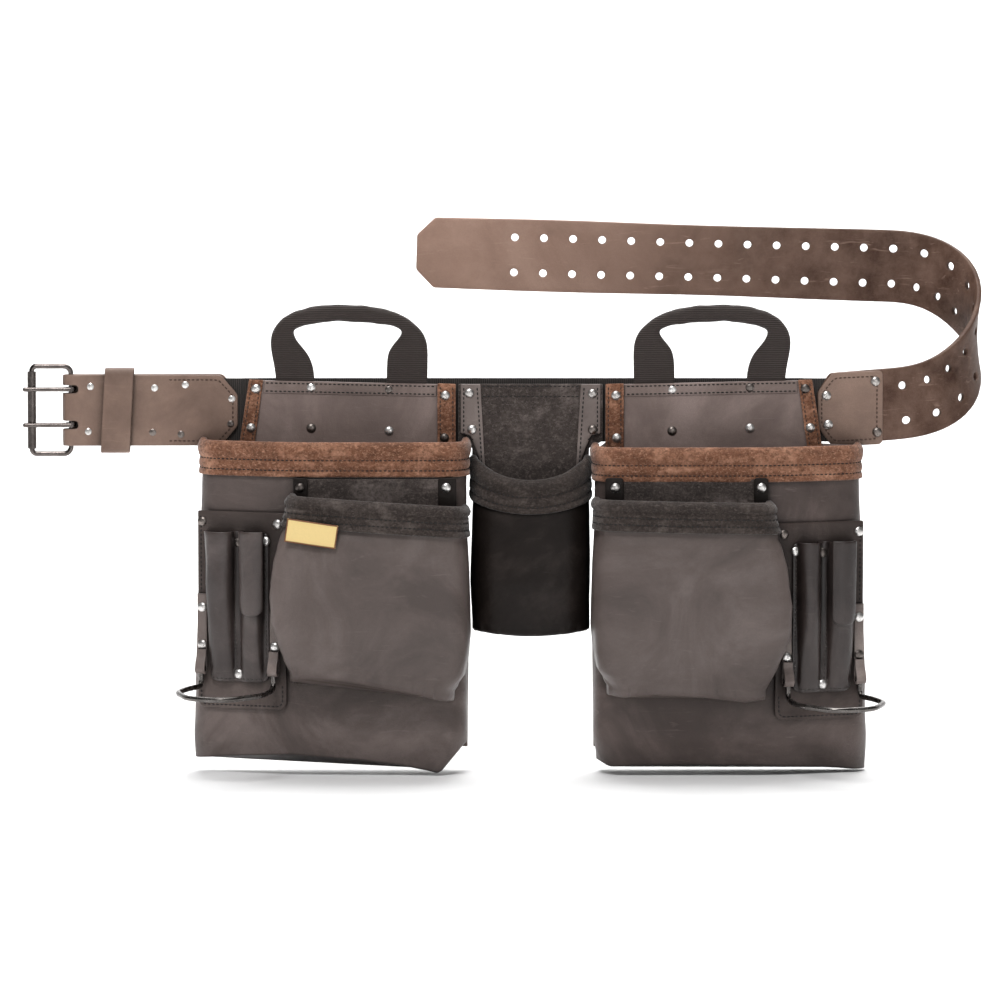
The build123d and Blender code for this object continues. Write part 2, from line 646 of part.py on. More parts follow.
def make_centre():
    panel = [(-63.5, 23.5), (63.5, 23.5), (63.5, -27), (51.5, -33), (50.0, -195), (-50.0, -195),
             (-51.5, -33), (-63.5, -27)]
    keep("centre_back_panel", outline_plate(panel, YOKE_BACK, LEATHER + 0.2))
    for name, sign in (("left", -1), ("right", 1)):
        strip = [(sign * 61.5, 23.5), (sign * 44.0, 23.5), (sign * 39.5, -60.0), (sign * 44.5, -60.0),
                 (sign * 45.2, -42.0), (sign * 53.0, -22.0), (sign * 61.5, -20.0)]
        keep(f"centre_{name}_strip", outline_plate(strip, STRIP_BACK, SUEDE))
    places = [(-54.0, 15.5), (-51.5, -16.6), (54.4, 15.2), (54.6, -16.6)]
    keep("centre_rivets", group(rivet_row(places, STRIP_BACK - SUEDE)))
    pocket_room = Pos(0, -60, POCKET_DIP + DIP_RADIUS) * Rot(90, 0, 0)
    pocket = pouch_body(centre_section, CENTRE_LEVELS)
    keep("centre_pocket", pocket - pocket_room * Cylinder(DIP_RADIUS, 120))
    binding = loft_levels(centre_section, CENTRE_LEVELS, grow=SUEDE)
    binding -= loft_levels(centre_section, clip_levels(CENTRE_LEVELS, -30, -200), grow=SKIN_GAP,
                           open_back=True)
    binding &= pocket_room * Cylinder(DIP_RADIUS + BINDING_HEIGHT - 2, 120)
    keep("centre_binding", binding - pocket_room * Cylinder(DIP_RADIUS, 120))


def make_label():
    """Small blank folded tag sewn into the seam under the left front pouch's binding."""
    middle = (-191.0, -101.0, -99.0)
    keep("label_tag", Pos(*middle) * Rot(0, 8, 0) * Rot(0, 0, -4) * Box(45.0, 1.2, 20.5))


def main():
    make_core()
    make_billet()
    make_buckle()
    make_keeper()
    make_tongue()
    make_centre()
    make_label()
    for side in ("left", "right"):
        make_back_leather(side)
        make_handle(side)
        make_main_pouch(side)
        make_front_pouch(side)
        heads = mirrored(group(make_front_lining(side)), side).solids()
        heads += on_patch(group(make_patch(side) + make_hammer_loop(side)), side).solids()
        keep(f"{side}_pouch_rivets", group(heads))
    os.makedirs("parts", exist_ok=True)
    for name, shape in parts.items():
        export_step(shape, f"parts/{name}.step")
    print(len(parts), "nodes written")


main()
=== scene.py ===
import json
import math

import bmesh
import bpy
import numpy as np
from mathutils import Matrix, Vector, noise
from mathutils.geometry import delaunay_2d_cdt


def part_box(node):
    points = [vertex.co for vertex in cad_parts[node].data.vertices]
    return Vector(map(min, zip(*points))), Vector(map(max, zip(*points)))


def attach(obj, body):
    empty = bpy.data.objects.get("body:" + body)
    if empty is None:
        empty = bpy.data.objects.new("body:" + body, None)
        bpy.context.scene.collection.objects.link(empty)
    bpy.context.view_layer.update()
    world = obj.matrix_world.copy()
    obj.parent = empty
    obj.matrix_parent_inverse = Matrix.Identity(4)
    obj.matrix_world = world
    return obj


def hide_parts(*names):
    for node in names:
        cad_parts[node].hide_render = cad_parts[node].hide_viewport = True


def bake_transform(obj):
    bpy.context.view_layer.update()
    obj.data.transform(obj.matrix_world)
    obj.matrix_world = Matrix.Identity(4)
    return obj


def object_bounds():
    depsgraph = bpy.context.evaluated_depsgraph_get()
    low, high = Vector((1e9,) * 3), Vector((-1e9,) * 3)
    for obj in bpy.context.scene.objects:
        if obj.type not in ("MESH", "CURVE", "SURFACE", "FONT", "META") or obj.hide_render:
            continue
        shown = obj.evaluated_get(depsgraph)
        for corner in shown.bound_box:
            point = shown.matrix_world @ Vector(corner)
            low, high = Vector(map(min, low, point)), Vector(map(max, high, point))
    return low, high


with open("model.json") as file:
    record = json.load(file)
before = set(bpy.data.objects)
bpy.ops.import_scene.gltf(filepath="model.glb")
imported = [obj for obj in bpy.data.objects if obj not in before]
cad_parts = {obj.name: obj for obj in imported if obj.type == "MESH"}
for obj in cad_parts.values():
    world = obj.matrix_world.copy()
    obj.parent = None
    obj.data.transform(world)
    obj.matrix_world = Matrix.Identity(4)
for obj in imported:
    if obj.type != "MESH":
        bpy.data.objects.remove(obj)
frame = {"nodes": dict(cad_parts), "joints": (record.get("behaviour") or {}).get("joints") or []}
CAD_BOUNDS = [list(map(float, corner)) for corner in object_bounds()]

# The looks of a leather tool belt. +X runs along the belt, +Y towards the wearer, +Z up.
# Lengths are in millimetres here and become metres when a piece is made. Bags are drawn at +X,
# with u as the distance from the middle, and mirrored for the left one.

ROOT = "bags_and_belt"
SIDES = ("left", "right")


def low(node):
    return np.array(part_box(node)[0]) * 1000


def high(node):
    return np.array(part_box(node)[1]) * 1000


# ---- Camera, floor and light ----

VIEW_WIDTH = 0.882
CAMERA_DISTANCE = 7.0
CAMERA_ELEVATION = math.radians(6.0)
AIM = Vector((-0.0269, 0.0, -0.0802))
SENSOR = 36.0


def make_camera():
    data = bpy.data.cameras.new("camera")
    camera = bpy.data.objects.new("camera", data)
    bpy.context.scene.collection.objects.link(camera)
    away = Vector((0, -math.cos(CAMERA_ELEVATION), math.sin(CAMERA_ELEVATION)))
    camera.location = AIM + away * CAMERA_DISTANCE
    camera.rotation_euler = (math.pi / 2 - CAMERA_ELEVATION, 0, 0)
    data.sensor_width = SENSOR
    data.lens = SENSOR * CAMERA_DISTANCE / VIEW_WIDTH
    data.clip_end = 50
    bpy.context.scene.camera = camera


def area_light(name, place, size, power, target=AIM):
    data = bpy.data.lights.new(name, "AREA")
    data.shape = "DISK"
    data.size = size
    data.energy = power
    light = bpy.data.objects.new(name, data)
    light.location = place
    light.rotation_euler = (Vector(target) - Vector(place)).to_track_quat("-Z", "Y").to_euler()
    bpy.context.scene.collection.objects.link(light)


def make_stage():
    floor_z = CAD_BOUNDS[0][2] - 0.0125
    back, front, height, half, bend = 3.0, 14.0, 4.5, 6.0, 1.2
    rows = [(-front, floor_z)]
    for step in range(13):
        angle = math.pi / 2 * step / 12
        rows.append((back - bend + bend * math.sin(angle), floor_z + bend - bend * math.cos(angle)))
    rows.append((back, floor_z + height))
    verts = [(x, y, z) for y, z in rows for x in (-half, half)]
    faces = [(2 * i, 2 * i + 1, 2 * i + 3, 2 * i + 2) for i in range(len(rows) - 1)]
    mesh = bpy.data.meshes.new("floor")
    mesh.from_pydata(verts, [], faces)
    mesh.polygons.foreach_set("use_smooth", [True] * len(mesh.polygons))
    floor = bpy.data.objects.new("floor", mesh)
    bpy.context.scene.collection.objects.link(floor)
    material = bpy.data.materials.new("pale_floor")
    material.use_nodes = True
    shader = material.node_tree.nodes["Principled BSDF"]
    shader.inputs["Base Color"].default_value = (0.96, 0.96, 0.96, 1)
    shader.inputs["Roughness"].default_value = 0.85
    shader.inputs["Specular IOR Level"].default_value = 0.2
    # From outside, the curved back wall is clear, so that it doesn't hide the object's back.
    tree = material.node_tree
    facing = tree.nodes.new("ShaderNodeNewGeometry")
    clear = tree.nodes.new("ShaderNodeBsdfTransparent")
    either = tree.nodes.new("ShaderNodeMixShader")
    tree.links.new(facing.outputs["Backfacing"], either.inputs[0])
    tree.links.new(shader.outputs[0], either.inputs[1])
    tree.links.new(clear.outputs[0], either.inputs[2])
    tree.links.new(either.outputs[0], tree.nodes["Material Output"].inputs["Surface"])
    mesh.materials.append(material)
    area_light("key", (-0.7, -2.3, 2.8), 1.1, 74)
    area_light("fill", (0.9, -3.6, 0.5), 2.0, 13)
    area_light("top", (0.1, -0.3, 2.6), 1.4, 12)
    area_light("rim", (0.4, 2.0, 2.4), 1.8, 30)
    area_light("backdrop", (0.0, 1.2, 3.4), 3.0, 150, (0.0, 3.0, -0.3))
    world = bpy.data.worlds.new("soft_room")
    world.use_nodes = True
    world.node_tree.nodes["Background"].inputs["Color"].default_value = (1.0, 1.0, 1.0, 1)
    world.node_tree.nodes["Background"].inputs["Strength"].default_value = 0.14
    bpy.context.scene.world = world
    bpy.context.scene.view_settings.view_transform = "Standard"


# ---- Materials ----

class Nodes:
    """A few short calls for building a material's node tree."""

    def __init__(self, name):
        self.material = bpy.data.materials.new(name)
        self.material.use_nodes = True
        self.tree = self.material.node_tree
        self.shader = self.tree.nodes["Principled BSDF"]
        self.place = self.add("ShaderNodeTexCoord").outputs["Object"]

    def add(self, kind):
        return self.tree.nodes.new(kind)

    def link(self, out, into):
        self.tree.links.new(out, into)

    def feed(self, value, socket):
        """Sets a socket to a number or colour, or links it to another node's output."""
        if isinstance(value, tuple):
            socket.default_value = (*value, 1)
        elif isinstance(value, (int, float)):
            socket.default_value = value
        else:
            self.link(value, socket)

    def texture(self, kind, stretch, **inputs):
        mapping = self.add("ShaderNodeMapping")
        mapping.inputs["Scale"].default_value = stretch
        self.link(self.place, mapping.inputs["Vector"])
        node = self.add(kind)
        for name, value in inputs.items():
            node.inputs[name].default_value = value
        self.link(mapping.outputs[0], node.inputs["Vector"])
        return node

    def noise(self, scale, detail=4.0, rough=0.55, stretch=(1, 1, 1), distortion=0.0):
        node = self.texture("ShaderNodeTexNoise", stretch, Scale=scale, Detail=detail, Roughness=rough,
                            Distortion=distortion)
        return node.outputs["Fac"]

    def cells(self, scale, stretch=(1, 1, 1)):
        node = self.texture("ShaderNodeTexVoronoi", stretch, Scale=scale)
        node.feature = "DISTANCE_TO_EDGE"
        return node.outputs["Distance"]

    def bands(self, direction, scale, distortion, detail=2.0):
        node = self.add("ShaderNodeTexWave")
        node.bands_direction = direction
        for name, value in (("Scale", scale), ("Distortion", distortion), ("Detail", detail)):
            node.inputs[name].default_value = value
        self.link(self.place, node.inputs["Vector"])
        return node.outputs["Fac"]

    def ramp(self, source, stops):
        node = self.add("ShaderNodeValToRGB")
        elements = node.color_ramp.elements
        while len(elements) < len(stops):
            elements.new(0.5)
        for element, (place, colour) in zip(elements, stops):
            element.position = place
            element.color = (*colour, 1) if len(colour) == 3 else colour
        self.link(source, node.inputs["Fac"])
        return node.outputs["Color"]

    def spread(self, source, from_low, from_high, to_low, to_high):
        node = self.add("ShaderNodeMapRange")
        for name, value in (("From Min", from_low), ("From Max", from_high),
                            ("To Min", to_low), ("To Max", to_high)):
            node.inputs[name].default_value = value
        self.link(source, node.inputs["Value"])
        return node.outputs["Result"]

    def mix(self, amount, first, second, mode="MIX"):
        node = self.add("ShaderNodeMix")
        node.data_type = "RGBA"
        node.blend_type = mode
        for value, index in ((amount, 0), (first, 6), (second, 7)):
            self.feed(value, node.inputs[index])
        return node.outputs[2]

    def painted_crowd_shade(self, base, reach=0.040, darkest=0.26):
        """Painted shade: base colour darkened by ambient occlusion where other pieces crowd it, standing in
        for the shade that falls there.
        """
        node = self.add("ShaderNodeAmbientOcclusion")
        node.samples = 6
        node.inputs["Distance"].default_value = reach
        shade = self.spread(node.outputs["AO"], 0.25, 0.84, darkest, 1.0)
        grey = self.add("ShaderNodeCombineColor")
        for channel in ("Red", "Green", "Blue"):
            self.link(shade, grey.inputs[channel])
        return self.mix(1.0, base, grey.outputs[0], "MULTIPLY")

    def maths(self, operation, first, second):
        node = self.add("ShaderNodeMath")
        node.operation = operation
        self.feed(first, node.inputs[0])
        self.feed(second, node.inputs[1])
        return node.outputs[0]

    def bump(self, height, distance, strength=1.0, before=None):
        node = self.add("ShaderNodeBump")
        node.inputs["Distance"].default_value = distance
        node.inputs["Strength"].default_value = strength
        self.link(height, node.inputs["Height"])
        if before is not None:
            self.link(before, node.inputs["Normal"])
        return node.outputs["Normal"]

    def set(self, **values):
        for name, value in values.items():
            self.feed(value, self.shader.inputs[name.replace("_", " ")])


def scaled(colour, factor):
    return tuple(c * factor for c in colour)


def leather(name, colour, worn, mottle, rough, coat=0.0, specular=0.25, painted_shade_along_x=None):
    """Oiled leather: cloudy pull-up colour, fine grain, a few scratches, and painted shade where other pieces
    crowd it.
    The darkening along X is painted shade: where along X the colour starts and stops darkening, in metres,
    and what it is multiplied by from there on, standing in for the shade on the side away from the light."""
    n = Nodes(name)
    clouds = n.noise(11.0, 6.0, 0.62, distortion=0.8)
    patches = n.noise(34.0, 5.0, 0.68)
    base = n.ramp(clouds, [(0.34, scaled(colour, 0.66)), (0.5, colour), (0.66, worn)])
    # Painted shade: the colour is darkened along X, standing in for shade on the side away from the light.
    if painted_shade_along_x:
        x = n.add("ShaderNodeSeparateXYZ")
        n.link(n.place, x.inputs[0])
        reach = n.spread(x.outputs["X"], painted_shade_along_x[0], painted_shade_along_x[1], 0.0, 1.0)
        base = n.mix(reach, base, n.mix(1.0, base, painted_shade_along_x[2], "MULTIPLY"))
    base = n.mix(n.spread(patches, 0.3, 0.75, 0.0, mottle), base, scaled(colour, 0.7))
    pores = n.cells(900.0)
    base = n.mix(n.spread(pores, 0.0, 0.25, 0.22, 0.0), base, scaled(colour, 0.45))
    scratch = n.noise(60.0, 3.0, 0.7, stretch=(0.35, 1, 2.6), distortion=1.5)
    base = n.mix(n.spread(scratch, 0.62, 0.74, 0.0, 0.35), base, worn)
    # Painted shade: the leather's colour is darkened where other pieces crowd it.
    base = n.painted_crowd_shade(base)
    roughness = n.spread(clouds, 0.3, 0.7, rough + 0.08, rough - 0.07)
    normal = n.bump(pores, 0.0004, 0.35)
    normal = n.bump(n.noise(260.0, 4.0, 0.6), 0.0008, 0.35, normal)
    normal = n.bump(patches, 0.004, 0.12, normal)
    n.set(Base_Color=base, Roughness=roughness, Normal=normal, Specular_IOR_Level=specular)
    if coat:
        n.set(Coat_Weight=coat, Coat_Roughness=0.32)
    return n.material


def suede(name, colour, light, nap, fleck):
    """Suede: brushed patches of nap, fibrous roughness, a soft sheen and painted shade where other pieces
    crowd it.
    """
    n = Nodes(name)
    brushed = n.noise(34.0, 5.0, 0.65, stretch=(0.8, 1, 1.25), distortion=0.5)
    fibres = n.noise(900.0, 3.0, 0.7)
    flecks = n.noise(260.0, 4.0, 0.7)
    base = n.ramp(brushed, [(0.34, scaled(colour, 0.62)), (0.52, colour), (0.70, light)])
    base = n.mix(n.spread(flecks, 0.42, 0.66, 0.0, fleck), base, scaled(colour, 0.38))
    pale = n.noise(420.0, 3.0, 0.75, stretch=(0.8, 1, 1.2), distortion=0.3)
    base = n.mix(n.spread(pale, 0.52, 0.70, 0.0, fleck), base, light)
    base = n.mix(n.spread(fibres, 0.5, 0.75, 0.0, 0.35), base, light)
    # Painted shade: the suede's colour is darkened where other pieces crowd it.
    base = n.painted_crowd_shade(base, 0.010, 0.45)
    normal = n.bump(fibres, 0.0008 * nap, 0.5)
    normal = n.bump(flecks, 0.0015 * nap, 0.45, normal)
    normal = n.bump(brushed, 0.003, 0.2, normal)
    n.set(Base_Color=base, Roughness=0.92, Normal=normal, Specular_IOR_Level=0.15,
          Sheen_Weight=0.25, Sheen_Roughness=0.45)
    return n.material


def webbing(name, colour, light, lengthwise="Z"):
    """Woven nylon: ribs across the strap and fine yarns along it."""
    n = Nodes(name)
    ribs = n.bands(lengthwise, 190.0, 0.6, 1.0)
    yarns = n.bands("X" if lengthwise == "Z" else "Z", 330.0, 1.2)
    weave = n.maths("MULTIPLY", ribs, n.spread(yarns, 0, 1, 0.55, 1.0))
    fuzz = n.noise(500.0, 4.0, 0.7)
    shade = n.noise(25.0, 3.0, 0.6)
    base = n.mix(n.spread(weave, 0.1, 0.9, 0.0, 1.0), scaled(colour, 0.55), light)
    base = n.mix(n.spread(shade, 0.35, 0.7, 0.0, 0.6), base, colour)
    base = n.mix(n.spread(fuzz, 0.55, 0.8, 0.0, 0.35), base, light)
    normal = n.bump(weave, 0.0006, 0.6)
    normal = n.bump(fuzz, 0.0004, 0.4, normal)
    n.set(Base_Color=base, Roughness=0.86, Normal=normal, Specular_IOR_Level=0.25,
          Sheen_Weight=0.15, Sheen_Roughness=0.5)
    return n.material


def metal(name, colour, dark, rough):
    """Plated steel: smudged reflections and dull patches."""
    n = Nodes(name)
    smudge = n.noise(70.0, 3.0, 0.5)
    dull = n.noise(160.0, 2.0, 0.5)
    base = n.mix(n.spread(smudge, 0.4, 0.7, 0.0, 0.7), colour, dark)
    roughness = n.spread(dull, 0.3, 0.75, rough - 0.08, rough + 0.16)
    normal = n.bump(dull, 0.0003, 0.15)
    n.set(Base_Color=base, Metallic=1.0, Roughness=roughness, Normal=normal)
    return n.material


def rivet_finish():
    """Nickel rivets, some bright and some gone dark."""
    n = Nodes("rivet_finish")
    random = n.add("ShaderNodeNewGeometry").outputs["Random Per Island"]
    smudge = n.noise(700.0, 4.0, 0.6)
    tone = n.ramp(random, [(0.0, (0.92, 0.90, 0.88)), (0.55, (0.80, 0.78, 0.76)),
                           (0.66, (0.27, 0.235, 0.215)), (1.0, (0.13, 0.112, 0.104))])
    base = n.mix(n.spread(smudge, 0.45, 0.7, 0.0, 0.55), tone, (0.12, 0.11, 0.10))
    roughness = n.spread(smudge, 0.3, 0.7, 0.24, 0.5)
    n.set(Base_Color=base, Metallic=1.0, Roughness=roughness, Normal=n.bump(smudge, 0.0003, 0.2))
    return n.material


def thread(name, colour):
    """Waxed thread with a slight twist."""
    n = Nodes(name)
    twist = n.noise(1500.0, 2.0, 0.5)
    base = n.mix(n.spread(twist, 0.3, 0.7, 0.0, 0.6), scaled(colour, 0.6), colour)
    n.set(Base_Color=base, Roughness=0.7, Normal=n.bump(twist, 0.0003, 0.5))
    return n.material


def label_cloth(name, colour):
    """Woven ribbon for the blank label."""
    n = Nodes(name)
    weave = n.cells(1400.0, stretch=(1, 1, 0.5))
    base = n.mix(n.spread(weave, 0.0, 0.3, 0.25, 0.0), colour, scaled(colour, 0.7))
    n.set(Base_Color=base, Roughness=0.75, Normal=n.bump(weave, 0.0002, 0.4))
    return n.material


# Painted shade on the right-hand bag's leather and patch: darkened towards +X, standing in for the shade on
# the side away from the light.
BAG_PAINTED_SHADE = (-0.06, 0.10, (0.70, 0.67, 0.66))
LEATHERS = {
    "belt_leather": dict(colour=(0.232, 0.152, 0.118), worn=(0.300, 0.202, 0.158), mottle=0.65, rough=0.5),
    # The tongue strap's darkening towards +X, to about a tenth along its right-hand run and bend, is painted
    # shade.
    "tongue_leather": dict(colour=(0.390, 0.250, 0.192), worn=(0.480, 0.320, 0.250), mottle=0.6,
                           rough=0.46, specular=0.14, painted_shade_along_x=(-0.06, 0.29, (0.105, 0.066, 0.048))),
    "bag_leather": dict(colour=(0.118, 0.091, 0.083), worn=(0.195, 0.154, 0.142), mottle=0.50,
                        rough=0.44, specular=0.22, painted_shade_along_x=BAG_PAINTED_SHADE),
    "patch_leather": dict(colour=(0.080, 0.061, 0.055), worn=(0.140, 0.109, 0.099), mottle=0.5,
                          rough=0.42, specular=0.2, painted_shade_along_x=BAG_PAINTED_SHADE),
    "yoke_leather": dict(colour=(0.215, 0.160, 0.143), worn=(0.310, 0.238, 0.216), mottle=0.45, rough=0.5),
    # The sleeve leather's darkening towards +X is painted shade, like the bag leather's.
    "sleeve_leather": dict(colour=(0.054, 0.040, 0.037), worn=(0.104, 0.080, 0.074), mottle=0.4,
                           rough=0.36, coat=0.2, specular=0.36, painted_shade_along_x=(-0.06, 0.10, (0.55, 0.52, 0.51))),
    "dark_leather": dict(colour=(0.0165, 0.0122, 0.0106), worn=(0.036, 0.028, 0.025), mottle=0.3,
                         rough=0.38, specular=0.13),
    "strip_leather": dict(colour=(0.200, 0.160, 0.146), worn=(0.34, 0.285, 0.262), mottle=0.3,
                          rough=0.42, coat=0.1),
    "yoke_edge": dict(colour=(0.210, 0.158, 0.140), worn=(0.280, 0.216, 0.196), mottle=0.4, rough=0.5),
    "front_leather": dict(colour=(0.120, 0.094, 0.086), worn=(0.172, 0.138, 0.128), mottle=0.45, rough=0.42),
}
SUEDES = {
    "rust_suede": ((0.205, 0.090, 0.052), (0.45, 0.235, 0.150), 1.5, 0.8),
    "black_suede": ((0.042, 0.032, 0.028), (0.120, 0.097, 0.087), 1.8, 0.6),
    "rough_panel": ((0.062, 0.049, 0.044), (0.180, 0.148, 0.136), 1.8, 0.6),
}
WEBBINGS = {
    "webbing": ((0.036, 0.0275, 0.0245), (0.082, 0.065, 0.060), "Z"),
    "belt_web": ((0.030, 0.026, 0.024), (0.065, 0.056, 0.052), "X"),
}
METALS = {
    "steel": ((0.15, 0.130, 0.122), (0.055, 0.047, 0.044), 0.22),
    "bright_steel": ((0.16, 0.148, 0.140), (0.050, 0.045, 0.042), 0.24),
}
THREADS = {
    "brown_thread": (0.085, 0.045, 0.030),
    "dark_thread": (0.012, 0.009, 0.008),
    "grey_thread": (0.060, 0.050, 0.045),
    "label_edge": (0.26, 0.10, 0.04),
}


def make_materials():
    made = {name: leather(name, **values) for name, values in LEATHERS.items()}
    for table, kind in ((SUEDES, suede), (WEBBINGS, webbing), (METALS, metal)):
        made.update({name: kind(name, *values) for name, values in table.items()})
    made.update({name: thread(name, colour) for name, colour in THREADS.items()})
    made["rivets"] = rivet_finish()
    made["label"] = label_cloth("label", (0.82, 0.62, 0.27))
    return made


MATERIALS = make_materials()


# ---- Mesh building ----

def unit(v):
    length = np.linalg.norm(v, axis=-1, keepdims=True)
    return v / np.maximum(length, 1e-12)


def new_piece(name, verts, faces, material, body=ROOT, replaces=(), bends=None):
    """A mesh piece that rides on a body, or stays unattached in world space when bends is given, and stands
    for CAD nodes.
    """
    mesh = bpy.data.meshes.new(name)
    scaled_verts = np.asarray(verts, float) * 0.001
    mesh.from_pydata([tuple(v) for v in scaled_verts], [], [tuple(int(i) for i in f) for f in faces])
    bm = bmesh.new()
    bm.from_mesh(mesh)
    bmesh.ops.remove_doubles(bm, verts=bm.verts, dist=1e-6)
    bmesh.ops.recalc_face_normals(bm, faces=bm.faces)
    bm.to_mesh(mesh)
    bm.free()
    mesh.polygons.foreach_set("use_smooth", [True] * len(mesh.polygons))
    mesh.materials.append(MATERIALS[material])
    piece = bpy.data.objects.new(name, mesh)
    bpy.context.scene.collection.objects.link(piece)
    if bends:
        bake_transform(piece)
    else:
        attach(piece, body)
    if replaces:
        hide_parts(*replaces)
    return piece


def finish_cad(node, material):
    """Give a carried CAD node its material."""
    obj = frame["nodes"][node]
    obj.data.materials.clear()
    obj.data.materials.append(MATERIALS[material])


def mirrored(points, side):
    points = np.array(points, float)
    return points * np.array([-1.0, 1.0, 1.0]) if side == "left" else points


def wobble(points, size, amount, seed=0.0):
    """Smooth random amounts for an array of points, with features of the given size."""
    flat = np.asarray(points, float).reshape(-1, 3) / size
    shift = np.array([seed, seed * 0.37, -seed])
    values = [noise.noise(Vector(p)) for p in flat + shift]
    return np.array(values).reshape(np.asarray(points).shape[:-1]) * amount


def grid_faces(rows, columns, close_rows=False, close_columns=True, start=0):
    """Quads over a grid of vertices stored row after row."""
    faces = []
    for i in range(rows if close_rows else rows - 1):
        for j in range(columns if close_columns else columns - 1):
            next_i, next_j = (i + 1) % rows, (j + 1) % columns
            faces.append((start + i * columns + j, start + i * columns + next_j,
                          start + next_i * columns + next_j, start + next_i * columns + j))
    return faces


def tube_geometry(sections, closed=False):
    """Vertices and faces through closed cross-sections (n, m, 3), capped unless closed."""
    sections = np.asarray(sections, float)
    n, m, _ = sections.shape
    faces = grid_faces(n, m, close_rows=closed)
    if not closed:
        faces.append(tuple(range(m)))
        faces.append(tuple(range((n - 1) * m, n * m)))
    return sections.reshape(-1, 3), faces


def along(points):
    steps = np.linalg.norm(np.diff(points, axis=0), axis=1)
    return np.concatenate([[0], np.cumsum(steps)])


def at_distances(wanted, travelled, values):
    """Rows of values, known at the travelled distances, at the wanted ones."""
    return np.stack([np.interp(wanted, travelled, column) for column in values.T], axis=-1)


def resample(points, count):
    """Evenly spaced points along a polyline."""
    points = np.asarray(points, float)
    travelled = along(points)
    return at_distances(np.linspace(0, travelled[-1], count), travelled, points)


def turns(count):
    """Evenly spaced angles round a circle."""
    return np.linspace(0, 2 * math.pi, count, endpoint=False)


def round_corners(points, radii, closed=False, steps=7):
    """Polyline whose corners are rounded off, each by about its radius."""
    points = [np.asarray(p, float) for p in points]
    radii = list(radii) if isinstance(radii, (list, tuple)) else [radii] * len(points)
    out = []
    for i, p in enumerate(points):
        if not closed and i in (0, len(points) - 1):
            out.append(p)
            continue
        before, after = points[i - 1] - p, points[(i + 1) % len(points)] - p
        reach = min(radii[i], np.linalg.norm(before) * 0.48, np.linalg.norm(after) * 0.48)
        if reach < 0.05:
            out.append(p)
            continue
        a, b = p + unit(before) * reach, p + unit(after) * reach
        for t in np.linspace(0, 1, steps):
            out.append((1 - t) ** 2 * a + 2 * t * (1 - t) * p + t ** 2 * b)
    return np.array(out)


def inside(points, loop):
    """Which 2-D points lie inside a closed loop."""
    x, y = points[:, 0], points[:, 1]
    result = np.zeros(len(points), bool)
    previous = loop[-1]
    for current in loop:
        crosses = (current[1] > y) != (previous[1] > y)
        slope = (previous[0] - current[0]) / (previous[1] - current[1] + 1e-12)
        result ^= crosses & (x < slope * (y - current[1]) + current[0])
        previous = current
    return result


def turned_loop(loop, anticlockwise):
    loop = np.asarray(loop, float)
    after = np.roll(loop, -1, axis=0)
    area = np.sum(loop[:, 0] * after[:, 1] - after[:, 0] * loop[:, 1])
    return loop if (area > 0) == anticlockwise else loop[::-1]


def inset(loop, distance):
    """Closed loop moved to its left."""
    tangent = unit(np.roll(loop, -1, axis=0) - np.roll(loop, 1, axis=0))
    return loop + np.stack([-tangent[:, 1], tangent[:, 0]], axis=1) * distance


def dense_loop(points, spacing):
    closed = np.concatenate([points, points[:1]])
    out = []
    for a, b in zip(closed, closed[1:]):
        count = max(1, int(math.ceil(np.linalg.norm(b - a) / spacing)))
        out += [a + (b - a) * k / count for k in range(count)]
    return np.array(out)


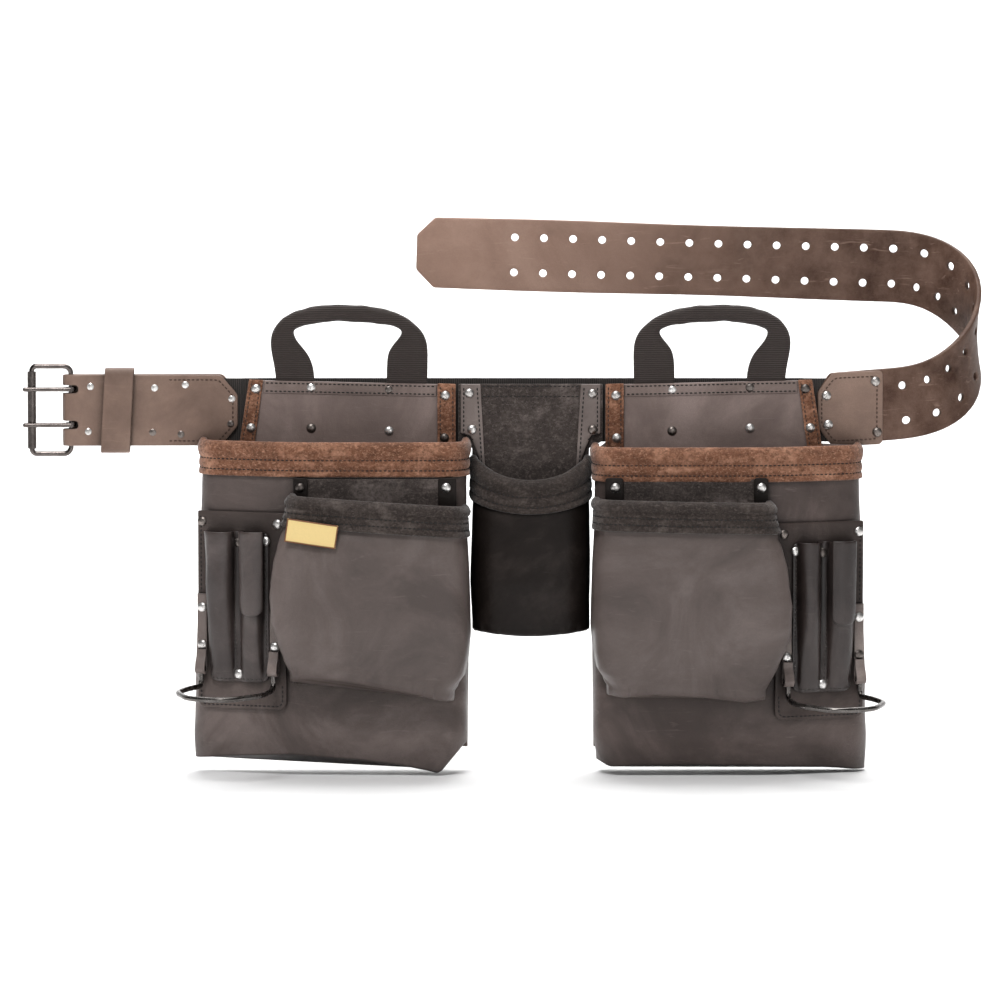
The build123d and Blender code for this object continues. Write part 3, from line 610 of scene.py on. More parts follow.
def sheet_geometry(outline, surface, thickness, holes=(), rounding=0.7, grid=6.0):
    """A sheet of leather with rounded edges: outline and holes are (s, t) loops, and
    surface(s, t) gives the points and normals of its middle."""
    loops = [turned_loop(dense_loop(np.asarray(outline, float), grid), True)]
    loops += [turned_loop(np.asarray(hole, float), False) for hole in holes]
    half = thickness / 2
    r = min(rounding, half)
    flat_loops = [inset(loop, r) for loop in loops]
    points = np.concatenate(flat_loops)
    edges, start = [], 0
    for loop in flat_loops:
        edges += [(start + k, start + (k + 1) % len(loop)) for k in range(len(loop))]
        start += len(loop)
    lo, hi = points.min(0), points.max(0)
    xs = np.arange(lo[0] + grid / 2, hi[0], grid)
    ys = np.arange(lo[1] + grid / 2, hi[1], grid)
    inner = np.stack(np.meshgrid(xs, ys), axis=-1).reshape(-1, 2)
    keep = inside(inner, flat_loops[0])
    for loop in flat_loops[1:]:
        keep &= ~inside(inner, loop)
    inner = inner[keep]
    gaps = np.array([np.min(np.sum((points - p) ** 2, axis=1)) for p in inner])
    if len(inner):
        inner = inner[gaps > (grid * 0.4) ** 2]
    everything = np.concatenate([points, inner]) if len(inner) else points
    made = delaunay_2d_cdt([Vector(p) for p in everything], edges, [], 0, 1e-6)
    flat = np.array([(v.x, v.y) for v in made[0]])
    triangles = np.array([list(f) for f in made[2]])
    centres = flat[triangles].mean(axis=1)
    keep = inside(centres, flat_loops[0])
    for loop in flat_loops[1:]:
        keep &= ~inside(centres, loop)
    triangles = triangles[keep]
    new_index = {}
    for index, originals in enumerate(made[3]):
        for original in originals:
            new_index[original] = index
    count = len(flat)
    places = [flat, flat]
    heights = [np.full(count, half), np.full(count, -half)]
    faces = [tuple(t) for t in triangles] + [tuple(t[::-1] + count) for t in triangles]
    total, start = 2 * count, 0
    bevel = [(r * (1 - math.cos(a)), half - r + r * math.sin(a)) for a in (0.75, 0.0)]
    bevel += [(x, -h) for x, h in reversed(bevel)]
    for loop in loops:
        size = len(loop)
        rings = [[new_index[start + k] for k in range(size)]]
        for distance, height in bevel:
            places.append(inset(loop, distance))
            heights.append(np.full(size, height))
            rings.append(list(range(total, total + size)))
            total += size
        rings.append([new_index[start + k] + count for k in range(size)])
        for first, second in zip(rings, rings[1:]):
            faces += [(first[k], first[(k + 1) % size], second[(k + 1) % size], second[k])
                      for k in range(size)]
        start += size
    st = np.concatenate(places)
    middle, normals = surface(st[:, 0], st[:, 1])
    return middle + normals * np.concatenate(heights)[:, None], faces


def facing(y_middle, relief=None):
    """Surface function of a sheet that faces -Y, its middle at y_middle."""
    def surface(s, t):
        y = np.full(len(s), float(y_middle))
        if relief is not None:
            y = y - relief(s, t)
        return np.stack([s, y, t], axis=1), np.tile([0.0, -1.0, 0.0], (len(s), 1))
    return surface


def sheet(name, outline, surface, thickness, material, slot, side="right", body=ROOT, replaces=(),
          bends=None, **shape):
    verts, faces = sheet_geometry(outline, surface, thickness, **shape)
    return new_piece(name, mirrored(verts, side), faces, material, body, replaces, bends)


def ring_sections(route, radius, around, closed):
    tangents = unit(np.gradient(route, axis=0))
    if closed:
        tangents = unit(np.roll(route, -1, axis=0) - np.roll(route, 1, axis=0))
    reference = np.array([0.0, 0.0, 1.0]) if abs(tangents[0][2]) < 0.9 else np.array([1.0, 0.0, 0.0])
    normal = unit(np.cross(tangents[0], reference))
    sections = []
    for point, tangent in zip(route, tangents):
        normal = unit(normal - tangent * np.dot(normal, tangent))
        other = np.cross(tangent, normal)
        sections.append([point + radius * (normal * math.cos(a) + other * math.sin(a))
                         for a in turns(around)])
    return np.array(sections), tangents


def wire(route, radius, around=14, closed=False):
    """Geometry of a round wire with rounded ends along a finely sampled route."""
    sections, tangents = ring_sections(route, radius, around, closed)
    if closed:
        return tube_geometry(sections, True)
    ends = []
    for index, sign in ((0, -1), (-1, 1)):
        centre = sections[index].mean(0)
        ends.append([centre + (sections[index] - centre) * math.cos(a)
                     + sign * tangents[index] * radius * math.sin(a) for a in (0.5, 1.0, 1.35)])
    return tube_geometry(np.concatenate([np.array(ends[0][::-1]), sections, np.array(ends[1])]))


def joined(*geometries):
    verts, faces, start = [], [], 0
    for v, f in geometries:
        verts.append(np.asarray(v, float).reshape(-1, 3))
        faces += [tuple(i + start for i in face) for face in f]
        start += len(verts[-1])
    return np.concatenate(verts), faces


# ---- Stitches and rivets ----

STITCH_PITCH = 3.9
STITCH_LENGTH = 2.6
STITCH_RADIUS = 0.55
STITCH_LIFT = 1.35
STITCH_RINGS = ((-0.5, 0.25), (-0.36, 0.8), (0.0, 1.0), (0.36, 0.8), (0.5, 0.25))


def stitches(name, lines, material="brown_thread", side="right", body=ROOT):
    """Thread along several lines, each an array of points and one of normals."""
    verts, faces = [], []
    around = 6
    angles = turns(around)
    for points, normals in lines:
        travelled = along(points)
        count = max(1, int(travelled[-1] / STITCH_PITCH))
        for centre in (np.arange(count) + 0.5) * travelled[-1] / count:
            before, middle, after = (at_distances(centre + step * STITCH_LENGTH, travelled, points)
                                     for step in (-0.5, 0, 0.5))
            tangent = unit(after - before)
            up = at_distances(centre, travelled, normals)
            up = unit(up - tangent * np.dot(up, tangent))
            across = np.cross(tangent, up)
            start = len(verts)
            for offset, size in STITCH_RINGS:
                ring = middle + tangent * offset * STITCH_LENGTH + up * STITCH_RADIUS * (0.3 * size - 0.05)
                for a in angles:
                    verts.append(ring + STITCH_RADIUS * size * (across * math.cos(a) * 1.1
                                                                + up * math.sin(a) * 0.85))
            faces += grid_faces(len(STITCH_RINGS), around, start=start)
            faces.append(tuple(range(start, start + around)))
            last = start + (len(STITCH_RINGS) - 1) * around
            faces.append(tuple(range(last, last + around)))
    return new_piece(name, mirrored(verts, side), faces, material, body)


def line_on(surface, thickness, *points, corner=0.0, closed=False):
    """Stitch line on the front of a sheet through (s, t) points."""
    route = np.asarray(points, float)
    if corner:
        route = round_corners(route, corner, closed)
    if closed:
        route = np.concatenate([route, route[:1]])
    route = resample(route, max(2, int(along(route)[-1] / 2.0)))
    middle, normals = surface(route[:, 0], route[:, 1])
    return middle + normals * thickness / 2, normals


def islands(node):
    """Lowest and highest corners of each separate solid in a CAD node, in millimetres."""
    mesh = frame["nodes"][node].data
    keys, index = {}, []
    for vertex in mesh.vertices:
        key = tuple(round(c, 6) for c in vertex.co)
        index.append(keys.setdefault(key, len(keys)))
    parent = list(range(len(keys)))

    def root(i):
        while parent[i] != i:
            parent[i] = parent[parent[i]]
            i = parent[i]
        return i

    for polygon in mesh.polygons:
        first = root(index[polygon.vertices[0]])
        for vertex in polygon.vertices[1:]:
            parent[root(index[vertex])] = first
    groups = {}
    for key, i in keys.items():
        groups.setdefault(root(i), []).append(key)
    boxes = [(np.min(g, axis=0) * 1000, np.max(g, axis=0) * 1000) for g in groups.values()]
    return sorted(boxes, key=lambda b: (round(b[0][0], 2), round(b[0][2], 2)))


RIVET_RADIUS = 4.2
RIVET_RISE = 1.9
RIVET_DEPTH = 1.6
RIVET_PROFILE = ((0.22, 0.985), (0.42, 0.93), (0.62, 0.80), (0.80, 0.58), (0.93, 0.30),
                 (1.0, 0.12), (1.0, 0.0), (0.97, -0.12))
PATCH_TURN = math.radians(17.0)


def rivet_heads(node, body=ROOT, more=()):
    """Turned rivet heads in the places of a CAD node's rivets; those on the tool patches are turned."""
    verts, faces = [], []
    around = 24
    for centre in [(a + b) / 2 for a, b in islands(node)] + list(more):
        on_patch = abs(centre[0]) > 214 and centre[2] < -85
        angle = math.copysign(PATCH_TURN, centre[0]) if on_patch else 0.0
        outward = np.array([math.sin(angle), -math.cos(angle), 0.0])
        across = np.array([math.cos(angle), math.sin(angle), 0.0])
        surface = centre + outward * (RIVET_DEPTH - RIVET_RISE) / 2
        start = len(verts)
        verts.append(surface + outward * RIVET_RISE)
        for radius, rise in RIVET_PROFILE:
            for a in turns(around):
                verts.append(surface + outward * RIVET_RISE * rise + RIVET_RADIUS * radius
                             * (across * math.cos(a) + np.array([0.0, 0.0, math.sin(a)])))
        faces += [(start, start + 1 + k, start + 1 + (k + 1) % around) for k in range(around)]
        faces += grid_faces(len(RIVET_PROFILE), around, start=start + 1)
        last = start + 1 + (len(RIVET_PROFILE) - 1) * around
        faces.append(tuple(range(last, last + around)))
    return new_piece(node + "_heads", verts, faces, "rivets", body, (node,))


# ---- Straps ----

def rounded_bar(width, thickness, rounding, across=7):
    """Outline of a strap's cross-section as (across, outward) offsets."""
    half, deep = width / 2, thickness / 2
    r = min(rounding, deep, half)
    corner = [(math.cos(a) * r, math.sin(a) * r) for a in np.linspace(0, math.pi / 2, 4)]
    points = [(half - r + x, deep - r + y) for x, y in corner]
    points += [(x, deep) for x in np.linspace(half - r, -(half - r), across)[1:-1]]
    points += [(-(half - r) - y, deep - r + x) for x, y in corner]
    points += [(-(half - r) - x, -(deep - r) - y) for x, y in corner]
    points += [(x, -deep) for x in np.linspace(-(half - r), half - r, across)[1:-1]]
    points += [(half - r + y, -(deep - r) - x) for x, y in corner]
    return points


def ribbon(path, widthwise, widths, thicknesses, rounding=0.7, closed=False):
    """Geometry of a strap along a path, as wide as widths in the widthwise directions."""
    path = np.asarray(path, float)
    count = len(path)
    widthwise = unit(np.broadcast_to(np.asarray(widthwise, float), (count, 3)))
    widths = np.broadcast_to(widths, count)
    thicknesses = np.broadcast_to(thicknesses, count)
    tangents = unit(np.roll(path, -1, axis=0) - np.roll(path, 1, axis=0)) if closed \
        else unit(np.gradient(path, axis=0))
    normals = unit(np.cross(widthwise, tangents))
    sections = []
    for k in range(count):
        bar = rounded_bar(widths[k], thicknesses[k], min(rounding, thicknesses[k] / 2))
        sections.append([path[k] + widthwise[k] * a + normals[k] * b for a, b in bar])
    return tube_geometry(sections, closed)


WEB_BACK = high("belt_webbing")[1]
WEB_MIDDLE = (low("belt_webbing")[1] + high("belt_webbing")[1]) / 2


def joint_place(name):
    """Where a joint is at rest, in millimetres."""
    return [1000 * place for place in next(j for j in frame["joints"] if j["name"] == name)["pos_m"]]


def make_belt():
    finish_cad("belt_webbing", "belt_web")
    lo, hi = low("belt_lining"), high("belt_lining")
    outline = round_corners([(lo[0], lo[2]), (hi[0], lo[2]), (hi[0], hi[2]), (lo[0], hi[2])], 6, True)

    def rear(s, t):
        y = np.full(len(s), (lo[1] + hi[1]) / 2)
        return np.stack([s, y, t], axis=1), np.tile([0.0, 1.0, 0.0], (len(s), 1))

    sheet("lining", outline, rear, hi[1] - lo[1], "rough_panel", "black_suede", replaces=("belt_lining",),
          grid=10)
    corners = [(lo[0] + 5, lo[2] + 4), (hi[0] - 5, lo[2] + 4), (hi[0] - 5, hi[2] - 4), (lo[0] + 5, hi[2] - 4)]
    stitches("lining_stitches", [line_on(rear, hi[1] - lo[1], *corners, corner=4, closed=True)],
             "grey_thread")
    for name, joint, end, body in (("left", "left_end_flex", low("left_web_tail")[0], "left_end"),
                                   ("right", "tongue_flex", high("right_web_tail")[0], "tongue")):
        flex = joint_place(joint)[0]
        sign = math.copysign(1, flex)
        xs = np.linspace(flex - 1.4 * sign, end, 30)
        path = np.stack([xs, np.full(30, WEB_MIDDLE), np.zeros(30)], axis=1)
        verts, faces = ribbon(path, (0, 0, 1), high("belt_webbing")[2] * 2, WEB_BACK * 2 - WEB_MIDDLE * 2)
        start, stop = ((flex - 1.2 * sign) / 1000, 0, 0), ((flex + 1.2 * sign) / 1000, 0, 0)
        new_piece(name + "_web_bridge", verts, faces, "belt_web",
                  replaces=(name + "_web_tail",), bends=(ROOT, body, start, stop))


def path_surface(path, widthwise):
    """Surface along a path of 3-D points: s is the distance travelled, t the offset widthwise."""
    travelled = along(path)
    tangents = unit(np.gradient(path, axis=0))
    widthwise = unit(np.broadcast_to(np.asarray(widthwise, float), path.shape))
    normals = unit(np.cross(tangents, widthwise))

    def surface(s, t):
        middle, outward, up = (at_distances(s, travelled, values) for values in (path, widthwise, normals))
        return middle + unit(outward) * np.asarray(t)[:, None], unit(up)

    return surface, travelled[-1]


def make_buckle_end():
    face, back = low("left_billet_front")[1], high("left_billet_back")[1]
    tip, back_tip = high("left_billet_front")[0], high("left_billet_back")[0]
    heel = joint_place("buckle_tilt")[0]
    half = high("left_billet_front")[2]
    ply, curl = 3.2, 3.4
    front_y, back_y = face + ply / 2, back - ply / 2
    turn = [(heel - 1.6 + (curl + 0.8) * math.cos(a), WEB_MIDDLE + curl * math.sin(a))
            for a in np.linspace(-math.pi / 2, -3 * math.pi / 2, 15)]
    flat = [(tip, front_y), (heel + 14, front_y), (heel + 7, front_y - 0.5)] + turn
    flat += [(heel + 7, back_y + 0.5), (heel + 14, back_y), (back_tip, back_y)]
    flat = resample(np.array(flat), 160)
    path = np.stack([flat[:, 0], flat[:, 1], np.zeros(len(flat))], axis=1)
    surface, length = path_surface(path, (0, 0, -1))
    cut = 15
    outline = [(0, -half + cut * 1.15), (cut, -half), (length - cut, -half - 0.6),
               (length, -half + cut * 1.15), (length, half - cut * 1.15), (length - cut, half + 0.6),
               (cut, half), (0, half - cut * 1.15)]
    outline = round_corners(outline, 3, True, 4)
    heel_s = tip - heel
    slots = []
    for prong in ("upper_prong", "lower_prong"):
        height = -(low(prong)[2] + high(prong)[2]) / 2
        slot = [(heel_s - 6.5, height - 3.5), (heel_s + 15.5, height - 3.5), (heel_s + 15.5, height + 3.5),
                (heel_s - 6.5, height + 3.5)]
        slots.append(dense_loop(round_corners(slot, 3, True, 4), 2.5))
    sheet("billet", outline, surface, ply, "belt_leather", "belt_leather", body="left_end",
          replaces=("left_billet_front", "left_billet_back"), holes=slots, grid=4)
    line = line_on(surface, ply, (61, -half + 4.2), (cut + 2, -half + 4.2), (4.4, -half + cut * 1.2),
                   (4.4, half - cut * 1.2), (cut + 2, half - 4.2), (61, half - 4.2), corner=3)
    stitches("billet_stitches", [line], "brown_thread", body="left_end")
    rivet_heads("billet_rivets", "left_end")
    for node in ("buckle_frame", "buckle_roller", "upper_prong", "lower_prong"):
        finish_cad(node, "steel")


def make_keeper():
    lo, hi = low("keeper_loop"), high("keeper_loop")
    wall, slant = 2.5, 0.055
    y0, y1 = lo[1] + wall / 2, hi[1] - wall / 2
    z0, z1 = lo[2] + wall / 2, hi[2] - wall / 2
    loop = round_corners([(y0, z0), (y1, z0), (y1, z1), (y0, z1)], 5, True)
    loop = resample(np.concatenate([loop, loop[:1]]), 97)[:-1]
    middle = (lo[0] + hi[0]) / 2
    path = np.stack([middle + slant * loop[:, 1], loop[:, 0] + 0.35 * np.sin(loop[:, 1] / 9),
                     loop[:, 1]], axis=1)
    verts, faces = ribbon(path, (1, 0, 0), hi[0] - lo[0], wall, 0.8, closed=True)
    new_piece("keeper", verts, faces, "belt_leather", "keeper", ("keeper_loop",))


TONGUE = {"start": 252.6, "bend": 318.0, "reach": 76.0, "depth": 121.0, "end": -101.5,
          "peak": 42.8, "near": 4.6, "far": 1.7}


def tongue_stations():
    """Points along the strap's centre line with their headings round the bend and climbs."""
    def climb(turn):
        return TONGUE["near"] + (TONGUE["far"] - TONGUE["near"]) * turn / 180 \
            + TONGUE["peak"] * math.sin(math.radians(turn)) ** 1.5

    point = np.array([TONGUE["start"], WEB_MIDDLE, 0.0])
    stations = [(point.copy(), 0.0)]
    run = TONGUE["bend"] - TONGUE["start"]
    point += (run, 0, run * math.tan(math.radians(TONGUE["near"])))
    steps = 24
    for step in range(steps + 1):
        turn = 180.0 * step / steps
        stations.append((point.copy(), turn))
        if step < steps:
            a, b = math.radians(turn), math.radians(turn + 180.0 / steps)
            dx = TONGUE["reach"] * (math.sin(b) - math.sin(a))
            dy = TONGUE["depth"] / 2 * (math.cos(a) - math.cos(b))
            rise = math.hypot(dx, dy) * math.tan(math.radians(climb(turn + 90.0 / steps)))
            point += (dx, dy, rise)
    run = point[0] - TONGUE["end"]
    point += (-run, 0, run * math.tan(math.radians(TONGUE["far"])))
    stations.append((point.copy(), 180.0))
    return [(p, turn, climb(turn)) for p, turn in stations]


def make_tongue():
    stations = tongue_stations()
    points = np.array([p for p, turn, climb in stations])
    headings = []
    for p, turn, climb in stations:
        flat = unit(np.array([TONGUE["reach"] * math.cos(math.radians(turn)),
                              TONGUE["depth"] / 2 * math.sin(math.radians(turn)), 0.0]))
        rise = math.radians(climb)
        headings.append(np.array([0, 0, 1.0]) * math.cos(rise) - flat * math.sin(rise))
    travelled = along(points)
    across = np.array(headings)
    wanted = np.linspace(0, travelled[-1], 260)
    surface, length = path_surface(at_distances(wanted, travelled, points),
                                   at_distances(wanted, travelled, across))
    strap_width, thickness = 63.5, 4.6
    half, chamfer = strap_width / 2, 16.0
    outline = [(0, half - 17), (0, -half + 17), (13, -half), (length - chamfer, -half),
               (length, -half + chamfer), (length, half - chamfer), (length - chamfer, half), (13, half)]
    outline = round_corners(outline, [3, 3, 3, 2, 2, 2, 2, 3], True, 4)
    holes = []
    rows_apart, pitch, first, radius, columns = 31.0, 26.0, 87.5, 3.4, 23
    angles = turns(20)
    for column in range(columns):
        s = length - first - column * pitch
        for t in (-rows_apart / 2, rows_apart / 2):
            holes.append(np.stack([s + radius * np.cos(angles), t + radius * np.sin(angles)], axis=1))

    def worn(s, t):
        middle, normals = surface(s, t)
        free = np.clip((s - 90) / 80, 0, 1)
        ripple = 0.7 * np.sin(s / 61) * free + 0.5 * np.sin(s / 23 + t / 40) * free
        edge = 0.5 * np.sin(s / 47 + 1) * free * (t / half)
        return middle + normals * (ripple * 0.8)[:, None] + np.stack(
            [np.zeros(len(s)), np.zeros(len(s)), edge], axis=1), normals

    sheet("strap", outline, worn, thickness, "tongue_leather", "belt_leather", body="tongue",
          replaces=("tongue_strap",), holes=holes, grid=5.5, rounding=1.1)
    lo, hi = low("tongue_patch"), high("tongue_patch")
    ply = hi[1] - lo[1]
    patch = [(lo[0], lo[2] + 17), (lo[0] + 13, lo[2]), (hi[0], lo[2] + 2), (hi[0], hi[2]),
             (lo[0] + 13, hi[2] - 2), (lo[0], hi[2] - 19)]
    patch_surface = facing((lo[1] + hi[1]) / 2)
    sheet("strap_patch", round_corners(patch, [3, 4, 5, 5, 4, 3], True), patch_surface, ply, "belt_leather",
          "belt_leather", body="tongue", replaces=("tongue_patch",), grid=5)
    middle = np.mean(patch, axis=0)
    inner = [tuple(middle + (np.array(p) - middle) * (1 - 4.6 / 30)) for p in patch]
    stitches("strap_patch_stitches", [line_on(patch_surface, ply, *inner, corner=4, closed=True)],
             "brown_thread", body="tongue")
    rivet_heads("tongue_rivets", "tongue")


# ---- Bags: yoke, strips and handles ----

YOKE_FRONT = low("right_back_leather")[1]


def flat_piece(name, outline, node, material, slot, side, corner=1.2, grid=6, lines=(), thread="brown_thread",
               relief=None, stands=True):
    """Sheet that faces -Y in the place of a CAD node, with its lines of stitches."""
    lo, hi = low(node), high(node)
    surface = facing((lo[1] + hi[1]) / 2, relief)
    loop = round_corners(outline, corner, True, 4)
    sheet(name, loop, surface, hi[1] - lo[1], material, slot, side, grid=grid,
          replaces=(node,) if stands else ())
    if lines:
        made = [line_on(surface, hi[1] - lo[1], *line) for line in lines]
        stitches(name + "_stitches", made, thread, side)


def make_yoke(side):
    outline = [(66.0, 23.0), (246.0, 27.0), (254.5, -29.0), (287.5, -30.5), (291.5, -120),
               (295.5, -240), (294.0, -298.0), (55.5, -298.0), (54.0, -180.0), (58.5, -34.0), (66.0, -28.0)]

    def ripple(s, t):
        return 0.25 * np.sin(s / 17) * np.clip((t + 30) / 40, 0, 1)

    flat_piece(side + "_back", outline, side + "_back_leather", "yoke_leather", "bag_leather", side,
               relief=ripple)
    facing_strip = [(83.0, 23.2), (234.0, 26.6), (234.6, 15.6), (83.0, 12.4)]
    surface = facing(YOKE_FRONT - 0.35, ripple)
    sheet(side + "_yoke_facing", round_corners(facing_strip, 0.8, True, 3), surface, 0.9, "yoke_edge",
          "bag_leather", side, grid=6, rounding=0.4)
    stitches(side + "_yoke_stitches", [line_on(surface, 0.9, (84, 21.4), (233.4, 24.6)),
                                       line_on(surface, 0.9, (84, 14.4), (233.8, 17.4))], "dark_thread", side)
    inner = [(65.8, 23.6), (82.0, 24.2), (82.0, -60.0), (65.8, -60.0)]
    outer = [(235.0, 27.2), (247.6, 27.6), (261.0, -60.0), (247.0, -60.0)]
    flat_piece(side + "_inner_suede", inner, side + "_inner_strip", "rust_suede", "rust_suede", side, grid=4,
               lines=[((68.4, 21.5), (68.4, -58)), ((79.4, 22), (79.4, -58))])
    flat_piece(side + "_outer_suede", outer, side + "_outer_strip", "rust_suede", "rust_suede", side, grid=4,
               lines=[((237.6, 25), (249.6, -58)), ((245.2, 25), (258.2, -58))])
    rivet_heads(side + "_yoke_rivets")


HANDLE_OUTER = [(224, -27), (224, 0), (224, 29), (225.4, 39), (228.6, 54), (228.9, 66.6), (223.5, 77),
                (213.9, 85.3), (199, 90.0), (179.5, 93.3), (163.6, 93.7), (137, 91.2), (122, 88),
                (112, 84), (102, 77.5), (93.5, 68), (90.4, 58.6), (90.4, 44), (90.8, 26.5), (91, 0),
                (91, -27)]
HANDLE_INNER = [(190, -27), (190, 0), (190, 29), (191.0, 38), (195, 49), (203.3, 58.6), (208.0, 65),
                (209.5, 70.5), (201, 74.2), (180, 78.2), (163, 78.7), (137.2, 76.6), (122, 74.4),
                (112.5, 71.5), (112.8, 67.5), (118, 61.0), (125.0, 53.5), (126.4, 42), (126.6, 27.4),
                (126.5, 0), (126.5, -27)]
HANDLE_DEPTH = [2.3, 2.3, 2.3, 2.4, 3.2, 5.0, 7.2, 8.6, 8.8, 8.8, 8.8, 8.8, 8.8, 8.4, 7.0, 5.0, 3.2,
                2.4, 2.3, 2.3, 2.3]


def make_handle(side):
    count = 150
    keys = np.array([(*o, *i, d) for o, i, d in zip(HANDLE_OUTER, HANDLE_INNER, HANDLE_DEPTH)])
    middles = (keys[:, :2] + keys[:, 2:4]) / 2
    travelled = along(middles)
    wanted = np.linspace(0, travelled[-1], count)
    rows = at_distances(wanted, travelled, keys)
    kernel = np.array([1, 2, 3, 4, 3, 2, 1]) / 16
    for _ in range(2):
        padded = np.concatenate([rows[:1]] * 3 + [rows] + [rows[-1:]] * 3)
        rows = np.stack([np.convolve(padded[:, k], kernel, "valid") for k in range(5)], axis=1)
    node = side + "_handle"
    y = (low(node)[1] + high(node)[1]) / 2
    sections = []
    for row in rows:
        outer, inner, depth = np.array([row[0], y, row[1]]), np.array([row[2], y, row[3]]), row[4]
        width = np.linalg.norm(outer - inner)
        widthwise = (outer - inner) / width
        middle = (outer + inner) / 2
        folded = np.clip((depth - 2.4) / 6, 0, 1)
        bar = rounded_bar(width, depth, 0.8 + 3.6 * folded, 9)
        sections.append([middle + widthwise * a + np.array([0, -b, 0]) for a, b in bar])
    sections = np.array(sections)
    bulk = (rows[:, 4] - 2.3)[:, None] / 6.5
    crease = wobble(sections, 11, 1.4, 3.0 + (side == "left")) * np.clip(bulk, 0, 1)
    sections[..., 1] += crease
    sections[..., 2] += wobble(sections, 9, 0.8, 7.0) * np.clip(bulk, 0, 1)
    verts, faces = tube_geometry(sections)
    fold = joint_place(node + "_fold")[2]
    start, end = (0, 0, (fold - 2.5) / 1000), (0, 0, (fold + 2.5) / 1000)
    new_piece(side + "_carry_webbing", mirrored(verts, side), faces, "webbing",
              replaces=(node, node + "_ends"), bends=(ROOT, "handle_" + side, start, end))


# ---- Pouches ----

WALL = 2.6
POUCH_BACK = YOKE_FRONT - 0.1


class Pouch:
    """Level sections of a pouch, each from one back edge round the front to the other."""

    def __init__(self, levels, corners, radii, columns=110, slope=0.0, slope_middle=0.0):
        self.levels, self.corners, self.radii = levels, corners, radii
        self.columns, self.slope, self.slope_middle = columns, slope, slope_middle

    def flat(self, z):
        heights = [level[0] for level in self.levels][::-1]
        values = [np.interp(z, heights, [level[k] for level in self.levels][::-1])
                  for k in range(1, len(self.levels[0]))]
        corners = round_corners(self.corners(*values), self.radii)
        return resample(corners, self.columns)

    def rows(self, depths):
        """Points (rows, columns, 3) at each column's own depths below the mouth, (rows, columns)."""
        mouth = self.levels[0][0]
        out = []
        for row in depths:
            tops, cache = mouth - row, {}
            points = np.zeros((self.columns, 3))
            for j, z in enumerate(tops):
                key = round(float(z) / 2) * 2.0
                if key not in cache:
                    cache[key] = self.flat(key)
                points[j, :2], points[j, 2] = cache[key][j], z
            points[:, 2] += self.slope * (points[:, 0] - self.slope_middle)
            out.append(points)
        return np.array(out)

    def outward(self, points):
        """Level normals of each row of points."""
        tangents = np.gradient(points, axis=1)
        level = np.stack([tangents[..., 1], -tangents[..., 0], np.zeros(points.shape[:2])], axis=-1)
        return unit(level)


def turned_under(rows, radius, back):
    """Rows of a pouch's outside, with its lower edge turned under in a quarter round towards its back."""
    turned = []
    for a in np.linspace(0, math.pi / 2, 6)[1:]:
        row = rows[-1].copy()
        row[:, 1] = np.minimum(row[:, 1] + radius * (1 - math.cos(a)), back)
        row[:, 2] = row[:, 2] - radius * math.sin(a)
        turned.append(row)
    return np.concatenate([rows, np.array(turned)])


def shell_geometry(outer, wall):
    """Walls and bottom of a pouch from its outer rows, mouth first."""
    n, m, _ = outer.shape
    normals = unit(np.cross(np.gradient(outer, axis=0), np.gradient(outer, axis=1)))
    inner = outer - normals * wall
    inner[0, :, 2] = outer[0, :, 2]
    verts = np.concatenate([outer.reshape(-1, 3), inner.reshape(-1, 3)])
    size = n * m
    faces = grid_faces(n, m, close_columns=False)
    faces += grid_faces(n, m, close_columns=False, start=size)
    faces += [(j, j + 1, size + j + 1, size + j) for j in range(m - 1)]
    for j in (0, m - 1):
        faces += [(i * m + j, (i + 1) * m + j, size + (i + 1) * m + j, size + i * m + j)
                  for i in range(n - 1)]
    last = (n - 1) * m
    faces.append(tuple(range(last, last + m)))
    faces.append(tuple(range(size + last, size + last + m)))
    faces.append((last, last + m - 1, size + last + m - 1, size + last))
    return verts, faces


FOLDED_INSIDE = [(1.4, -1.8), (-0.6, -2.5), (-2.9, -2.1), (-4.4, -0.4), (-4.9, 2.4), (-4.8, 7.5),
                 (-4.6, 11.0), (-3.7, 11.5), (-2.8, 11.0), (-2.7, 5.0), (-2.7, 0.6), (-1.3, 0.1), (0.15, 0.6),
                 (0.15, 14.0)]
BINDINGS = {
    "main": ([(0.25, 27.4), (1.1, 28.2), (2.0, 28.0), (2.5, 27.0), (2.4, 24.4), (1.1, 22.5), (2.3, 20.6),
              (2.7, 18.0), (2.3, 15.4), (1.1, 13.5), (2.7, 11.4), (3.7, 7.6), (3.9, 3.6), (3.0, 0.6)],
             (13.5, 22.5)),
    "front": ([(0.25, 24.0), (1.1, 24.7), (1.9, 24.4), (2.3, 23.2), (2.2, 20.4), (1.0, 18.6), (2.1, 17.0),
               (2.1, 14.3), (1.0, 12.6), (2.1, 10.8), (2.2, 9.4), (1.2, 7.8), (3.2, 6.0), (4.1, 3.2),
               (3.2, 0.4)], (12.6, 18.6)),
    "centre": ([(0.25, 26.4), (1.1, 27.2), (2.0, 26.9), (2.5, 25.6), (2.4, 23.4), (1.0, 21.6), (2.3, 19.6),
                (2.5, 17.0), (2.3, 14.6), (1.0, 12.8), (2.2, 11.2), (4.0, 8.2), (4.9, 4.2), (3.4, 0.6)],
               (12.8, 21.6)),
}


